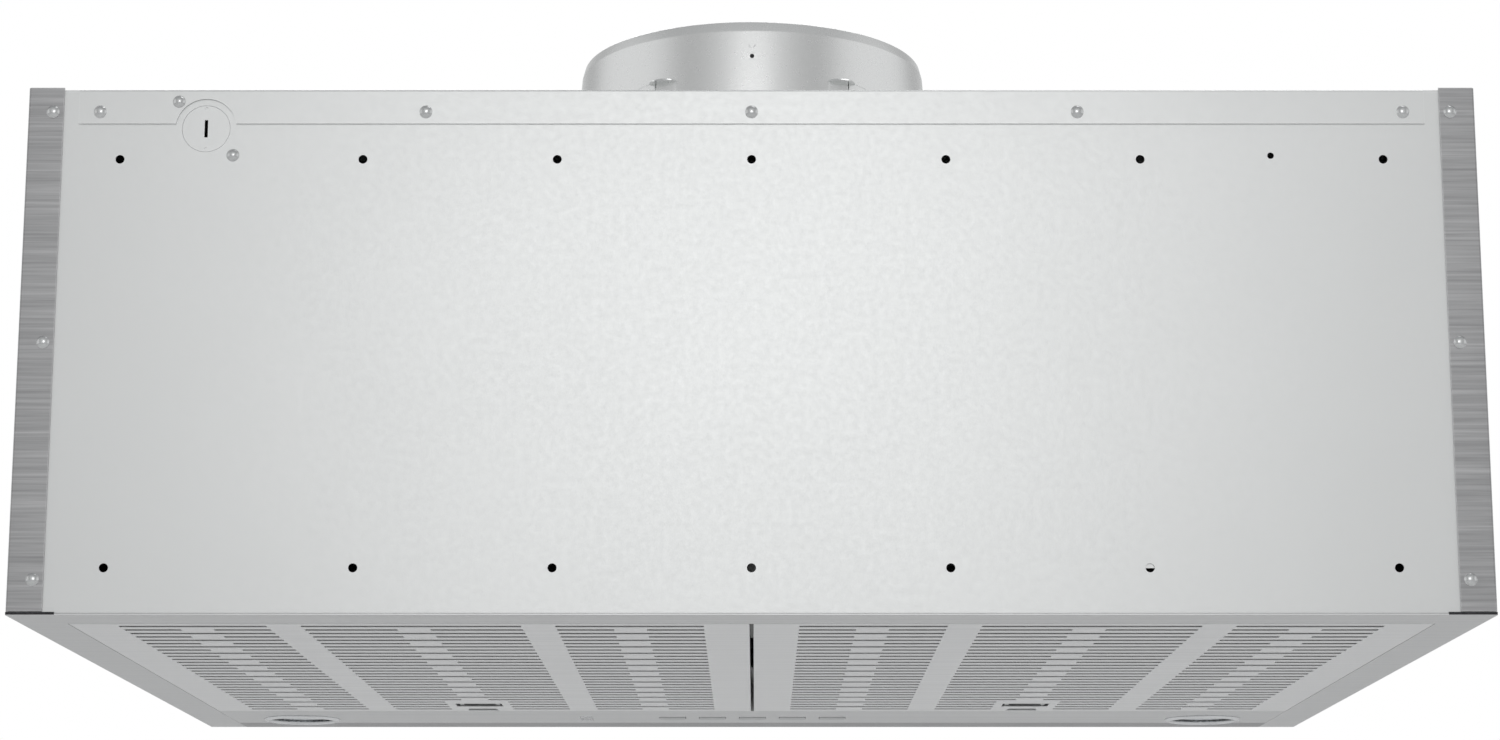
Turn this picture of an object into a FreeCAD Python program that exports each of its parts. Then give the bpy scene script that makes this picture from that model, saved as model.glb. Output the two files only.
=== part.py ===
import FreeCAD, Part
import math
import os

# Box-shaped range hood body with a round duct collar, two slotted filters, two lamps and five buttons.
# Millimetres. +Z is up, the user stands on the -Y side, and the mounting face looks towards +Y.
# The origin is the middle of the underside. Left and right are as the user sees them: left is -X.

V = FreeCAD.Vector
UP = V(0, 0, 1)
ALONG_X = V(1, 0, 0)
ALONG_Y = V(0, 1, 0)

# ---- driving dimensions -------------------------------------------------------------------------------
BODY_WIDTH = 873.0
BODY_DEPTH = 684.0
BODY_HEIGHT = 320.0        # underside to the top sheet
SHEET = 1.2                # sheet metal of the casing
FIT = 0.2                  # gap between nested casing sheets
PANEL_GAP = 0.3            # seam between the panels of the underside

REAR_STRIP = 21.4          # side panels' return flange, seen on the back
SIDE_LIFT = 2.4            # side panels stop this far above the underside
SIDE_PROUD = 1.2           # side panels rise this far above the top sheet
TOP_FLANGE_HEIGHT = 21.3
TOP_FLANGE_HALF = 406.0

MOUNT_X = [0.0, 117.0, 234.0, 380.3]
MOUNT_ROW_LOW = 28.2
MOUNT_ROW_GAP = 248.5
MOUNT_HOLE_R = 2.7
TOOLING_X = -312.6         # one smaller hole beside the upper mounting row
TOOLING_DROP = 41.0
TOOLING_R = 2.0

KNOCKOUT_X = 329.0
KNOCKOUT_DROP = 24.2       # centre below the top sheet
KNOCKOUT_R = 14.4
KNOCKOUT_GAP = 0.15        # sheared line round the disk
RIVET_REACH = 16.6         # rivet offset from the knockout's centre, along X and along Z

REAR_LIP = 39.0            # underside lip behind the filters
SIDE_BAND = 27.9           # underside band beside the filters
FILTER_OPENING = 519.0     # depth of the opening for the filters
CONTROL_DEPTH = 91.0       # control strip in front of the filters

FILTER_GAP = 2.4           # slit between the two filters
FILTER_HEIGHT = 20.0
FILTER_SHEET = 0.8
SLOT_ROWS = 30
SLOT_PITCH = 16.87
SLOT_WIDTH = 7.5
SLOT_ZONES = [(28.8, 118.0), (138.6, 271.1), (291.7, 380.5)]
BRIDGE = 20.0              # web that splits every second row
LATCH_X = 205.0

LAMP_X = 353.5
LAMP_FROM_REAR = 619.0
BEZEL_R = 29.4
BUTTON_COUNT = 5
BUTTON_PITCH = 31.2
BUTTON_WIDTH = 20.0
BUTTON_DEPTH = 14.0
BUTTON_FROM_REAR = 604.0
WINDOW_X = 130.0
WINDOW_FROM_REAR = 615.0

DUCT_FROM_REAR = 395.0
COLLAR_RIM_R = 125.0       # fits a 10 inch round duct
COLLAR_BASE_R = 134.0
COLLAR_HEIGHT = 135.0
COLLAR_WALL = 3.0
DAMPER_DROP = 26.0         # damper pin below the collar's rim
PIN_R = 1.5

HUB_Y = 41.0               # fan axis, along X
HUB_Z = 160.0
WHEEL_R = 92.0
SCROLL_HALF = 84.0         # half the scroll's width along X
SCROLL_STEP = 12.0         # growth of the scroll's radius at each quarter turn
SCROLL_START_R = 104.0

# ---- planes and lines that follow from them -----------------------------------------------------------
HALF_W = BODY_WIDTH / 2
REAR = BODY_DEPTH / 2
FRONT = -REAR
INNER_X = HALF_W - SHEET - FIT
PANEL_REAR = REAR - SHEET                   # outer face of the rear panel, under the flanges
OPENING_HALF = HALF_W - SIDE_BAND
OPENING_REAR = REAR - REAR_LIP
OPENING_FRONT = OPENING_REAR - FILTER_OPENING
STRIP_FRONT = OPENING_FRONT - CONTROL_DEPTH
DUCT_Y = REAR - DUCT_FROM_REAR
RIM_Z = BODY_HEIGHT + COLLAR_HEIGHT
KNOCKOUT_Z = BODY_HEIGHT - KNOCKOUT_DROP
LAMP_Y = REAR - LAMP_FROM_REAR
BUTTON_Y = REAR - BUTTON_FROM_REAR - BUTTON_DEPTH / 2
WINDOW_Y = REAR - WINDOW_FROM_REAR
FAN_Y = HUB_Y - SCROLL_STEP / 2             # centre of the scroll's last two quarter arcs
FAN_Z = HUB_Z + SCROLL_STEP / 2
SCREW_INSET = 15.0
SCREW_TOP = 14.0
SCREW_STEP = 142.5
FLANGE_SCREW_STEP = 196.5


# ---- helpers ------------------------------------------------------------------------------------------
def box(x0, x1, y0, y1, z0, z1):
    """Block between two limits along each axis."""
    return Part.makeBox(x1 - x0, y1 - y0, z1 - z0, V(x0, y0, z0))


def rod(x, y, z, radius, length, axis=UP):
    """Round bar that starts at a point and runs along an axis."""
    return Part.makeCylinder(radius, length, V(x, y, z), axis)


def tube(x, y, z, outer, inner, length, axis=UP):
    """Round pipe that starts at a point and runs along an axis."""
    return rod(x, y, z, outer, length, axis).cut(rod(x, y, z, inner, length, axis))


def joined(shapes):
    """One solid from shapes that touch or overlap."""
    whole = shapes[0].fuse(list(shapes[1:]))
    return whole.removeSplitter()


def mirrored(shape):
    """The same piece on the other side of the hood."""
    return shape.mirror(V(0, 0, 0), ALONG_X)


def extruded(points, direction):
    """Prism on a closed outline of straight edges."""
    wire = Part.makePolygon(points + [points[0]])
    return Part.Face(wire).extrude(direction)


def turned(points, x, y):
    """A ring or dish turned about a vertical axis; points are (radius, height)."""
    outline = [V(x + radius, y, height) for radius, height in points]
    face = Part.Face(Part.makePolygon(outline + [outline[0]]))
    return face.revolve(V(x, y, 0), UP, 360)


# ---- fasteners ----------------------------------------------------------------------------------------
SCREW_HEAD_R = 3.9
SCREW_HEAD_H = 2.2
SCREW_SHANK_R = 1.6
SCREW_HOLE_R = 1.8


def dome_screw(x, y, z, outward, shank):
    """Dome-head screw seated at (x, y, z), its head standing out along outward."""
    sphere_r = (SCREW_HEAD_R ** 2 + SCREW_HEAD_H ** 2) / (2 * SCREW_HEAD_H)
    seat = V(x, y, z)
    ball = Part.makeSphere(sphere_r, seat + outward * (SCREW_HEAD_H - sphere_r))
    head = ball.common(Part.makeCylinder(SCREW_HEAD_R + 1, SCREW_HEAD_H, seat, outward))
    body = Part.makeCylinder(SCREW_SHANK_R, shank, seat, outward * -1)
    return joined([head, body])


def strip_screw_places():
    heights = [BODY_HEIGHT - SCREW_TOP - row * SCREW_STEP for row in range(3)]
    return [(side * (HALF_W - SCREW_INSET), z) for side in (-1, 1) for z in heights]


def flange_screw_places():
    return [(column * FLANGE_SCREW_STEP, BODY_HEIGHT - SCREW_TOP) for column in range(-2, 3)]


def rivet_places():
    upper = (KNOCKOUT_X + RIVET_REACH, KNOCKOUT_Z + RIVET_REACH)
    lower = (KNOCKOUT_X - RIVET_REACH, KNOCKOUT_Z - RIVET_REACH)
    return [upper, lower]


def rear_holes(places, radius=SCREW_HOLE_R, depth=12.0):
    """Drills that open the rear sheets at each (x, z)."""
    return [rod(x, REAR + 1, z, radius, depth, ALONG_Y * -1) for x, z in places]


def rear_screws():
    """The eleven screws of the back, three in each side strip and five in the top flange."""
    places = strip_screw_places() + flange_screw_places()
    return Part.makeCompound([dome_screw(x, REAR, z, ALONG_Y, 9.0) for x, z in places])


def box_rivets():
    """Two rivets that hold the junction box, the upper one through the top flange as well."""
    upper, lower = rivet_places()
    through = dome_screw(upper[0], REAR, upper[1], ALONG_Y, 5.0)
    plain = dome_screw(lower[0], PANEL_REAR, lower[1], ALONG_Y, 4.0)
    return Part.makeCompound([through, plain])


# ---- casing -------------------------------------------------------------------------------------------
def rear_panel():
    """Flat back sheet with forward folds at both sides and every hole of the back."""
    side_fold = 18.0
    fold_lift = 18.0
    bottom = SHEET + 0.3
    top = BODY_HEIGHT - SHEET
    sheet = box(-INNER_X, INNER_X, PANEL_REAR - SHEET, PANEL_REAR, bottom, top)
    folds = [sheet]
    for side in (-1, 1):
        x = side * INNER_X
        edges = sorted([x, x - side * SHEET])
        folds.append(box(edges[0], edges[1], PANEL_REAR - side_fold, PANEL_REAR, bottom + fold_lift, top))
    panel = joined(folds)
    columns = sorted(set(MOUNT_X + [-x for x in MOUNT_X]))
    rows = (MOUNT_ROW_LOW, MOUNT_ROW_LOW + MOUNT_ROW_GAP)
    mounting = [(x, z) for x in columns for z in rows]
    cutters = rear_holes(mounting, MOUNT_HOLE_R)
    cutters += rear_holes([(TOOLING_X, BODY_HEIGHT - TOOLING_DROP)], TOOLING_R)
    cutters += rear_holes(strip_screw_places() + flange_screw_places() + rivet_places())
    cutters += rear_holes([(KNOCKOUT_X, KNOCKOUT_Z)], KNOCKOUT_R + KNOCKOUT_GAP)
    return panel.cut(cutters)


def knockout_disk():
    """Punched disk with a pry slot, a coined ring and the two ties that hold it until it is knocked out."""
    half_slot_w = 1.0
    half_slot_h = 5.4
    tie_reach = KNOCKOUT_GAP - 0.01
    tie_front = PANEL_REAR - 0.3
    dimple_reach = 12.6
    dimple_r = 0.9
    disk = rod(KNOCKOUT_X, PANEL_REAR, KNOCKOUT_Z, KNOCKOUT_R, SHEET, ALONG_Y * -1)
    low_x = KNOCKOUT_X - half_slot_w
    high_x = KNOCKOUT_X + half_slot_w
    ties = []
    for side in (-1, 1):
        z = KNOCKOUT_Z + side * KNOCKOUT_R
        ties.append(box(low_x, high_x, PANEL_REAR - SHEET, tie_front, z - tie_reach, z + tie_reach))
    slot_low = KNOCKOUT_Z - half_slot_h
    cutters = [box(low_x, high_x, PANEL_REAR - 2 * SHEET, REAR, slot_low, KNOCKOUT_Z + half_slot_h)]
    for side in (-1, 1):
        z = KNOCKOUT_Z + side * dimple_reach
        cutters.append(rod(KNOCKOUT_X, REAR, z, dimple_r, REAR - PANEL_REAR + 0.5, ALONG_Y * -1))
    return joined([disk] + ties).cut(cutters)


def top_panel():
    """Top sheet that laps over the back with a folded flange and tucks in behind the front."""
    front_edge = FRONT + SHEET + FIT
    fold = 20.0
    side_relief = 22.0
    notch_r = KNOCKOUT_R + 4.0
    sheet = box(-INNER_X, INNER_X, front_edge, REAR, BODY_HEIGHT - SHEET, BODY_HEIGHT)
    clips = []
    for side in (-1, 1):
        x0, x1 = sorted([side * TOP_FLANGE_HALF, side * HALF_W])
        clips.append(box(x0, x1, PANEL_REAR, REAR + 1, 0, BODY_HEIGHT + 1))
    flange = box(
        -TOP_FLANGE_HALF, TOP_FLANGE_HALF, PANEL_REAR, REAR, BODY_HEIGHT - TOP_FLANGE_HEIGHT, BODY_HEIGHT
    )
    fold_half = INNER_X - side_relief
    front_fold = box(-fold_half, fold_half, front_edge, front_edge + SHEET, BODY_HEIGHT - fold, BODY_HEIGHT)
    panel = joined([sheet.cut(clips), flange, front_fold])
    notch = rod(KNOCKOUT_X, REAR + 1, KNOCKOUT_Z, notch_r, SHEET + 1.0, ALONG_Y * -1)
    under = BODY_HEIGHT - 2 * SHEET
    duct = rod(0, DUCT_Y, under, DUCT_OPENING_R, 4 * SHEET)
    cutters = [notch, duct] + rear_holes(flange_screw_places() + rivet_places()[:1])
    for x, y in collar_screw_places() + fan_screw_places():
        cutters.append(rod(x, y, under, SCREW_HOLE_R, 4 * SHEET))
    return panel.cut(cutters)


def right_side_panel():
    """Stainless side with return flanges behind the back strip, over the top and inside the front."""
    low = SIDE_LIFT
    high = BODY_HEIGHT + SIDE_PROUD
    top_fold = 16.0
    front_fold = 20.0
    front_lift = 18.0
    inside_front = FRONT + SHEET + FIT
    wall = box(HALF_W - SHEET, HALF_W, FRONT, REAR, low, high)
    back = box(HALF_W - REAR_STRIP, HALF_W, PANEL_REAR, REAR, low, high)
    over = box(HALF_W - top_fold, HALF_W, FRONT + SHEET, REAR, BODY_HEIGHT, high)
    front_top = BODY_HEIGHT - SHEET - FIT
    front = box(HALF_W - front_fold, HALF_W, inside_front, inside_front + SHEET, low + front_lift, front_top)
    panel = joined([wall, back, over, front])
    return panel.cut(rear_holes([place for place in strip_screw_places() if place[0] > 0]))


def front_panel():
    """Front sheet with a lip folded back under it, between the side bands of the underside."""
    lip_half = OPENING_HALF - PANEL_GAP
    face = box(-INNER_X, INNER_X, FRONT, FRONT + SHEET, SHEET + FIT, BODY_HEIGHT + SIDE_PROUD - 0.1)
    lip = box(-lip_half, lip_half, FRONT, STRIP_FRONT - PANEL_GAP, 0, SHEET)
    web = box(-lip_half, lip_half, FRONT, FRONT + SHEET, 0, 2 * SHEET)
    return joined([face, lip, web])


def bottom_frame():
    """Picture frame round the filters: rear lip and two side bands, with upturned edges."""
    tall_edge = 18.0
    short_edge = 14.0
    corner_relief = 30.0
    rear_lip = box(-HALF_W, HALF_W, OPENING_REAR, REAR, 0, SHEET)
    pieces = [rear_lip]
    for side in (-1, 1):
        outer = side * HALF_W
        inner = side * OPENING_HALF
        x0, x1 = sorted([outer, inner])
        pieces.append(box(x0, x1, FRONT, REAR, 0, SHEET))
        x0, x1 = sorted([side * INNER_X, side * (INNER_X - SHEET)])
        pieces.append(box(x0, x1, FRONT + 4, PANEL_REAR - 5, 0, tall_edge))
        x0, x1 = sorted([inner, inner + side * SHEET])
        pieces.append(box(x0, x1, OPENING_FRONT, OPENING_REAR + 12, 0, short_edge))
    rear_edge_y = PANEL_REAR - SHEET - 0.1
    rear_half = INNER_X - corner_relief
    pieces.append(box(-rear_half, rear_half, rear_edge_y - SHEET, rear_edge_y, 0, tall_edge))
    return joined(pieces)


def control_panel():
    """Strip in front of the filters with the lamp holes, the button holes and the window."""
    half = OPENING_HALF - PANEL_GAP
    strip = box(-half, half, STRIP_FRONT, OPENING_FRONT, 0, SHEET)
    rear_fold = box(-half, half, OPENING_FRONT - SHEET, OPENING_FRONT, 0, 18)
    front_fold = box(-half, half, STRIP_FRONT, STRIP_FRONT + SHEET, 0, 12)
    panel = joined([strip, rear_fold, front_fold])
    cutters = [rod(side * LAMP_X, LAMP_Y, -1, LAMP_SLEEVE_R + 0.2, 5) for side in (-1, 1)]
    play = 0.4
    half_w = BUTTON_WIDTH / 2 + play
    half_d = BUTTON_DEPTH / 2 + play
    for x in button_places():
        cutters.append(box(x - half_w, x + half_w, BUTTON_Y - half_d, BUTTON_Y + half_d, -1, 5))
    window_w = WINDOW_HALF_W + WINDOW_PLAY
    window_d = WINDOW_HALF_D + WINDOW_PLAY
    low_y = WINDOW_Y - window_d
    high_y = WINDOW_Y + window_d
    cutters.append(box(WINDOW_X - window_w, WINDOW_X + window_w, low_y, high_y, -1, 5))
    return panel.cut(cutters)


# ---- electrical junction box --------------------------------------------------------------------------
JBOX_X = (290.0, 372.0)
JBOX_Y = (289.0, 339.6)
JBOX_Z = (262.0, 316.0)
CABLE_R = 3.5
CABLE_EXIT_Y = 312.0
CABLE_EXIT_Z = 288.0
CABLE_BEND = 24.0
CABLE_SIDE_X = 397.0       # run along the right side
CABLE_LOW_Z = 72.0
CABLE_DROP_X = 72.0        # where it drops to the button carrier
CABLE_END_Z = 17.0


def junction_box():
    """Small steel box behind the knockout, open underneath."""
    outer = box(JBOX_X[0], JBOX_X[1], JBOX_Y[0], JBOX_Y[1], JBOX_Z[0], JBOX_Z[1])
    inner = box(JBOX_X[0] + 1, JBOX_X[1] - 1, JBOX_Y[0] + 1, JBOX_Y[1] - 1, JBOX_Z[0] - 1, JBOX_Z[1] - 1)
    exit_hole = rod(JBOX_X[1] - 5, CABLE_EXIT_Y, CABLE_EXIT_Z, CABLE_R + 0.1, 10, ALONG_X)
    knockout = rear_holes([(KNOCKOUT_X, KNOCKOUT_Z)], KNOCKOUT_R + KNOCKOUT_GAP)
    return outer.cut([inner, exit_hole] + knockout + rear_holes(rivet_places()))


def junction_box_cover():
    """Lid under the junction box, with a locating tab and its two screw heads."""
    low = JBOX_Z[0] - SHEET
    plate = box(JBOX_X[0], JBOX_X[1], JBOX_Y[0], JBOX_Y[1] - 2, low, JBOX_Z[0])
    tab = box(JBOX_X[0] + 4, JBOX_X[1] - 4, JBOX_Y[0] + 1.2, JBOX_Y[0] + 2.2, low, JBOX_Z[0] + 8)
    heads = [rod(x, JBOX_Y[0] + 11, low - 1.8, 3, 1.9) for x in (JBOX_X[0] + 12, JBOX_X[1] - 12)]
    return joined([plate, tab] + heads)


def terminal_block():
    """Three-way connector with its screw wells, fixed to the roof of the junction box."""
    x0 = JBOX_X[0] + 21
    y0 = JBOX_Y[0] + 4
    low = JBOX_Z[1] - 15
    base = box(x0, x0 + 40, y0, y0 + 16, low, JBOX_Z[1] - 1)
    wells = [rod(x0 + 7 + 13 * index, y0 + 8, low - 1, 3.2, 8) for index in range(3)]
    return base.cut(wells)


def supply_cable():
    """Sheathed cable from the junction box, along the right side, down to the button carrier."""
    points = [
        V(JBOX_X[1] - 6, CABLE_EXIT_Y, CABLE_EXIT_Z),
        V(CABLE_SIDE_X, CABLE_EXIT_Y, CABLE_EXIT_Z),
        V(CABLE_SIDE_X, BUTTON_Y, CABLE_EXIT_Z),
        V(CABLE_SIDE_X, BUTTON_Y, CABLE_LOW_Z),
        V(CABLE_DROP_X, BUTTON_Y, CABLE_LOW_Z),
        V(CABLE_DROP_X, BUTTON_Y, CABLE_END_Z),
    ]
    edges = []
    start = points[0]
    for index in range(1, len(points) - 1):
        corner = points[index]
        back = (points[index - 1] - corner).normalize()
        ahead = (points[index + 1] - corner).normalize()
        shorter = min((points[index - 1] - corner).Length, (points[index + 1] - corner).Length)
        radius = min(CABLE_BEND, 0.8 * shorter)
        arc_in = corner + back * radius
        arc_out = corner + ahead * radius
        middle = corner + (back + ahead) * radius * (1 - math.sqrt(0.5))
        edges.append(Part.LineSegment(start, arc_in).toShape())
        edges.append(Part.Arc(arc_in, middle, arc_out).toShape())
        start = arc_out
    edges.append(Part.LineSegment(start, points[-1]).toShape())
    route = Part.Wire(edges)
    print(f"supply cable {route.Length:.0f} mm")
    section = Part.Wire([Part.makeCircle(CABLE_R, points[0], ALONG_X)])
    return route.makePipeShell([section], True, True)


# ---- filters ------------------------------------------------------------------------------------------
FILTER_X0 = FILTER_GAP / 2
FILTER_X1 = OPENING_HALF - 0.6
FILTER_Y0 = OPENING_FRONT + 1.0
FILTER_Y1 = OPENING_REAR - 1.5
FIRST_ROW = REAR - 52.0
FINGER_HALF_X = 17.3
FINGER_Y = (REAR - 524.0, REAR - 502.0)
PLATE_HALF_X = 23.5
LATCH_CLEAR_ROWS = 4
LATCH_Z = FILTER_SHEET + 0.3
LATCH_T = 1.0
TONGUE_LENGTH = 20.0
TONGUE_FRONT_HALF = 12.0
TONGUE_REAR_HALF = 10.0
TAB_X = (73.0, 336.0)      # rear hanging tabs
TAB_HALF = 15.0
TAB_Z = 2.4
BAFFLE_Z = 7.0
BAFFLE_T = 1.0
SPRING_ROOM = 16.0         # between the latch's post and the spring seat
SPRING_R = 2.0
SPRING_WIRE_R = 0.4
SPRING_PITCH = 1.6


def slot_spans(row):
    """Start and end of every slot in a row, across the right-hand filter."""
    spans = []
    for x0, x1 in SLOT_ZONES:
        middle = (x0 + x1) / 2
        on_latch = x0 < LATCH_X < x1 and row >= SLOT_ROWS - LATCH_CLEAR_ROWS
        if on_latch:
            spans += [(x0, LATCH_X - PLATE_HALF_X), (LATCH_X + PLATE_HALF_X, x1)]
        elif row % 2 == 1:
            spans += [(x0, middle - BRIDGE / 2), (middle + BRIDGE / 2, x1)]
        else:
            spans.append((x0, x1))
    return spans


def slot_cutters(y_shift, z0, z1):
    """Drifts that open every slot between two heights, moved along Y by y_shift."""
    cutters = []
    for row in range(SLOT_ROWS):
        y = FIRST_ROW - row * SLOT_PITCH + y_shift
        for x0, x1 in slot_spans(row):
            cutters.append(box(x0, x1, y - SLOT_WIDTH / 2, y + SLOT_WIDTH / 2, z0, z1))
    return cutters


def tray(x0, x1, y0, y1, z0, z1, wall):
    """Open-topped sheet tray."""
    return box(x0, x1, y0, y1, z0, z1).cut(box(x0 + wall, x1 - wall, y0 + wall, y1 - wall, z0 + wall, z1 + 1))


def tongue(y0, z0, height):
    """Tapered tongue of the latch from y0 back to its root."""
    y1 = FILTER_Y0 + TONGUE_LENGTH
    return extruded(
        [
            V(LATCH_X - TONGUE_FRONT_HALF, y0, z0),
            V(LATCH_X + TONGUE_FRONT_HALF, y0, z0),
            V(LATCH_X + TONGUE_REAR_HALF, y1, z0),
            V(LATCH_X - TONGUE_REAR_HALF, y1, z0),
        ],
        UP * height,
    )


def filter_face():
    """Slotted lower pan of the right-hand filter, with the finger opening and the rear hanging tabs."""
    pan = tray(FILTER_X0, FILTER_X1, FILTER_Y0, FILTER_Y1, 0, FILTER_HEIGHT - FILTER_SHEET, FILTER_SHEET)
    tab_y = FILTER_Y1 - FILTER_SHEET
    tabs = [box(x - TAB_HALF, x + TAB_HALF, tab_y, FILTER_Y1 + 9, TAB_Z, TAB_Z + 1.0) for x in TAB_X]
    finger = box(LATCH_X - FINGER_HALF_X, LATCH_X + FINGER_HALF_X, FINGER_Y[0], FINGER_Y[1], -1, 5)
    way_half = TONGUE_FRONT_HALF + 0.6
    way = box(LATCH_X - way_half, LATCH_X + way_half, FILTER_Y0 - 1, FILTER_Y0 + 2, FILTER_SHEET, 4.4)
    recess = tongue(FILTER_Y0 + 3.0, -1, 3.0)
    return joined([pan] + tabs).cut(slot_cutters(0, -1, 5) + [finger, way, recess])


def filter_baffle():
    """Inner slotted sheet, its slots set half a pitch off the pan's, on feet at the pan's walls."""
    gap = 0.3
    wall = FILTER_SHEET + gap
    high = BAFFLE_Z + BAFFLE_T
    x0 = FILTER_X0 + wall
    x1 = FILTER_X1 - wall
    y0 = FILTER_Y0 + wall
    y1 = FILTER_Y1 - wall
    sheet = box(x0, x1, y0, y1, BAFFLE_Z, high)
    legs = [box(x, x + BAFFLE_T, y0, y1, FILTER_SHEET, high) for x in (x0, x1 - BAFFLE_T)]
    latch_way = box(LATCH_X - 26, LATCH_X + 26, FILTER_Y0, FINGER_Y[1] + 22, 0, 12)
    return joined([sheet] + legs).cut(slot_cutters(SLOT_PITCH / 2, 0, 12) + [latch_way])


def filter_cover():
    """Upper sheet that closes the filter; air leaves through its slots."""
    lid = box(FILTER_X0, FILTER_X1, FILTER_Y0, FILTER_Y1, FILTER_HEIGHT - FILTER_SHEET, FILTER_HEIGHT)
    return lid.cut(slot_cutters(0, FILTER_HEIGHT - 2, FILTER_HEIGHT + 1))


def latch():
    """Spring slide: a finger pulls it back by its window's turned-up lip, and its tongue leaves the front."""
    z0 = LATCH_Z
    z1 = z0 + LATCH_T
    half = 15.0
    window_half = 12.0
    rear = FINGER_Y[1] + 8
    plate = box(LATCH_X - half, LATCH_X + half, FILTER_Y0 + TONGUE_LENGTH - 2, rear, z0, z1)
    x0 = LATCH_X - window_half
    x1 = LATCH_X + window_half
    window = box(x0, x1, FINGER_Y[0] - 1, FINGER_Y[1] - 1, z0 - 1, z1 + 1)
    lip = box(x0, x1, FINGER_Y[1] - 1, FINGER_Y[1] + 0.2, z0, z0 + 9)
    post = box(LATCH_X - 3, LATCH_X + 3, rear - 1.2, rear, z0, z0 + 6)
    return joined([plate.cut(window), lip, tongue(FILTER_Y0, z0, LATCH_T), post])


def latch_spring():
    """Compression spring behind the latch, between its post and the spring seat on the pan."""
    start = FINGER_Y[1] + 8.3 + SPRING_WIRE_R
    length = SPRING_ROOM - 2 * SPRING_WIRE_R - 0.6
    helix = Part.makeHelix(SPRING_PITCH, length, SPRING_R)
    profile = Part.Wire([Part.makeCircle(SPRING_WIRE_R, V(SPRING_R, 0, 0), ALONG_Y)])
    coil = Part.Wire(helix.Edges).makePipeShell([profile], True, True)
    coil.rotate(V(0, 0, 0), ALONG_X, -90)
    coil.translate(V(LATCH_X, start, LATCH_Z + 3.4))
    return coil


# ---- lamps --------------------------------------------------------------------------------------------
LAMP_SLEEVE_R = 26.3
LENS_R = 25.1
REFLECTOR_FACETS = 16
REFLECTOR_T = 1.2
CAN_LOW = 8.0
CAN_HIGH = 46.0
CAN_FINS = 12
MODULE_LOW = 26.0


def lamp_bezel(x):
    """Bright ring: rounded rim below the panel and a sleeve up through its hole."""
    rim = [
        (24.6, 0.0),
        (24.6, -1.2),
        (25.4, -1.9),
        (26.8, -2.1),
        (28.4, -1.5),
        (BEZEL_R, -0.5),
        (BEZEL_R, 0.0),
        (LAMP_SLEEVE_R, 0.0),
        (LAMP_SLEEVE_R, 8.0),
        (25.3, 8.0),
        (25.3, 0.9),
        (24.6, 0.9),
    ]
    return turned(rim, x, LAMP_Y)


def lamp_lens(x):
    """Clear disk, a little thicker at its middle, resting in the ring."""
    return turned([(0, 1.0), (LENS_R, 1.0), (LENS_R, 2.6), (0, 3.2)], x, LAMP_Y)


def lamp_reflector(x):
    """Faceted dish: sixteen flat panels round the lamp module."""
    shells = []
    for inset in (0.0, REFLECTOR_T):
        overrun = 0.01 if inset else 0.0
        rims = []
        for radius, height in ((24.0 - inset, 3.6 - overrun), (7.0 - inset, 25.0 + overrun)):
            corners = []
            for index in range(REFLECTOR_FACETS):
                angle = 2 * math.pi * index / REFLECTOR_FACETS
                corners.append(V(x + radius * math.cos(angle), LAMP_Y + radius * math.sin(angle), height))
            rims.append(Part.makePolygon(corners + [corners[0]]))
        shells.append(Part.makeLoft(rims, True, True))
    return shells[0].cut(shells[1])


def lamp_can(x):
    """Closed can over the lamp, standing on the bezel's sleeve."""
    can = rod(x, LAMP_Y, CAN_LOW, LAMP_SLEEVE_R, CAN_HIGH - CAN_LOW)
    bore = rod(x, LAMP_Y, CAN_LOW - 1, LAMP_SLEEVE_R - 1.0, CAN_HIGH - CAN_LOW)
    fins = []
    for index in range(CAN_FINS):
        fin = box(LAMP_SLEEVE_R - 2, LAMP_SLEEVE_R + 3, -0.8, 0.8, CAN_LOW + 12, CAN_HIGH)
        fin.rotate(V(0, 0, 0), UP, index * 360 / CAN_FINS)
        fin.translate(V(x, LAMP_Y, 0))
        fins.append(fin)
    return joined([can] + fins).cut(bore)


def led_modules():
    """Round light module in the roof of each can, its emitter at the throat of the dish."""
    modules = []
    for side in (-1, 1):
        plate = rod(side * LAMP_X, LAMP_Y, MODULE_LOW, 15.0, CAN_HIGH - 1 - MODULE_LOW)
        emitter = rod(side * LAMP_X, LAMP_Y, MODULE_LOW - 1.8, 4.6, 1.8)
        modules.append(joined([plate, emitter]))
    return Part.makeCompound(modules)


# ---- controls -----------------------------------------------------------------------------------------
WINDOW_HALF_W = 4.7
WINDOW_HALF_D = 15.9
WINDOW_PLAY = 0.15
CARRIER_HALF = 88.0
CARRIER_HIGH = 18.0
CARRIER_WALL = 2.0
CARRIER_Y = (BUTTON_Y - 21.0, BUTTON_Y + 21.0)
BOARD_Z = 13.8


def button_places():
    """Centre of each button along X."""
    first = -(BUTTON_COUNT - 1) / 2 * BUTTON_PITCH
    return [first + index * BUTTON_PITCH for index in range(BUTTON_COUNT)]


def button(x):
    """Push key: a cap a little below the strip, a collar that keeps it in, and a stem."""
    half_w = BUTTON_WIDTH / 2
    half_d = BUTTON_DEPTH / 2
    cap = box(x - half_w, x + half_w, BUTTON_Y - half_d, BUTTON_Y + half_d, -0.8, 4.0)
    soft = [edge for edge in cap.Edges if edge.BoundBox.ZMax < 0]
    cap = cap.makeFillet(0.5, soft)
    wide = half_w + 1.2
    deep = half_d + 1.2
    collar = box(x - wide, x + wide, BUTTON_Y - deep, BUTTON_Y + deep, 1.6, 3.0)
    stem = rod(x, BUTTON_Y, 4.0, 3.5, 4.0)
    return joined([cap, collar, stem])


def carrier_block(inset, z0, z1):
    """The carrier's outline, drawn in by inset, between two heights."""
    half = CARRIER_HALF - inset
    return box(-half, half, CARRIER_Y[0] + inset, CARRIER_Y[1] - inset, z0, z1)


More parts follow.
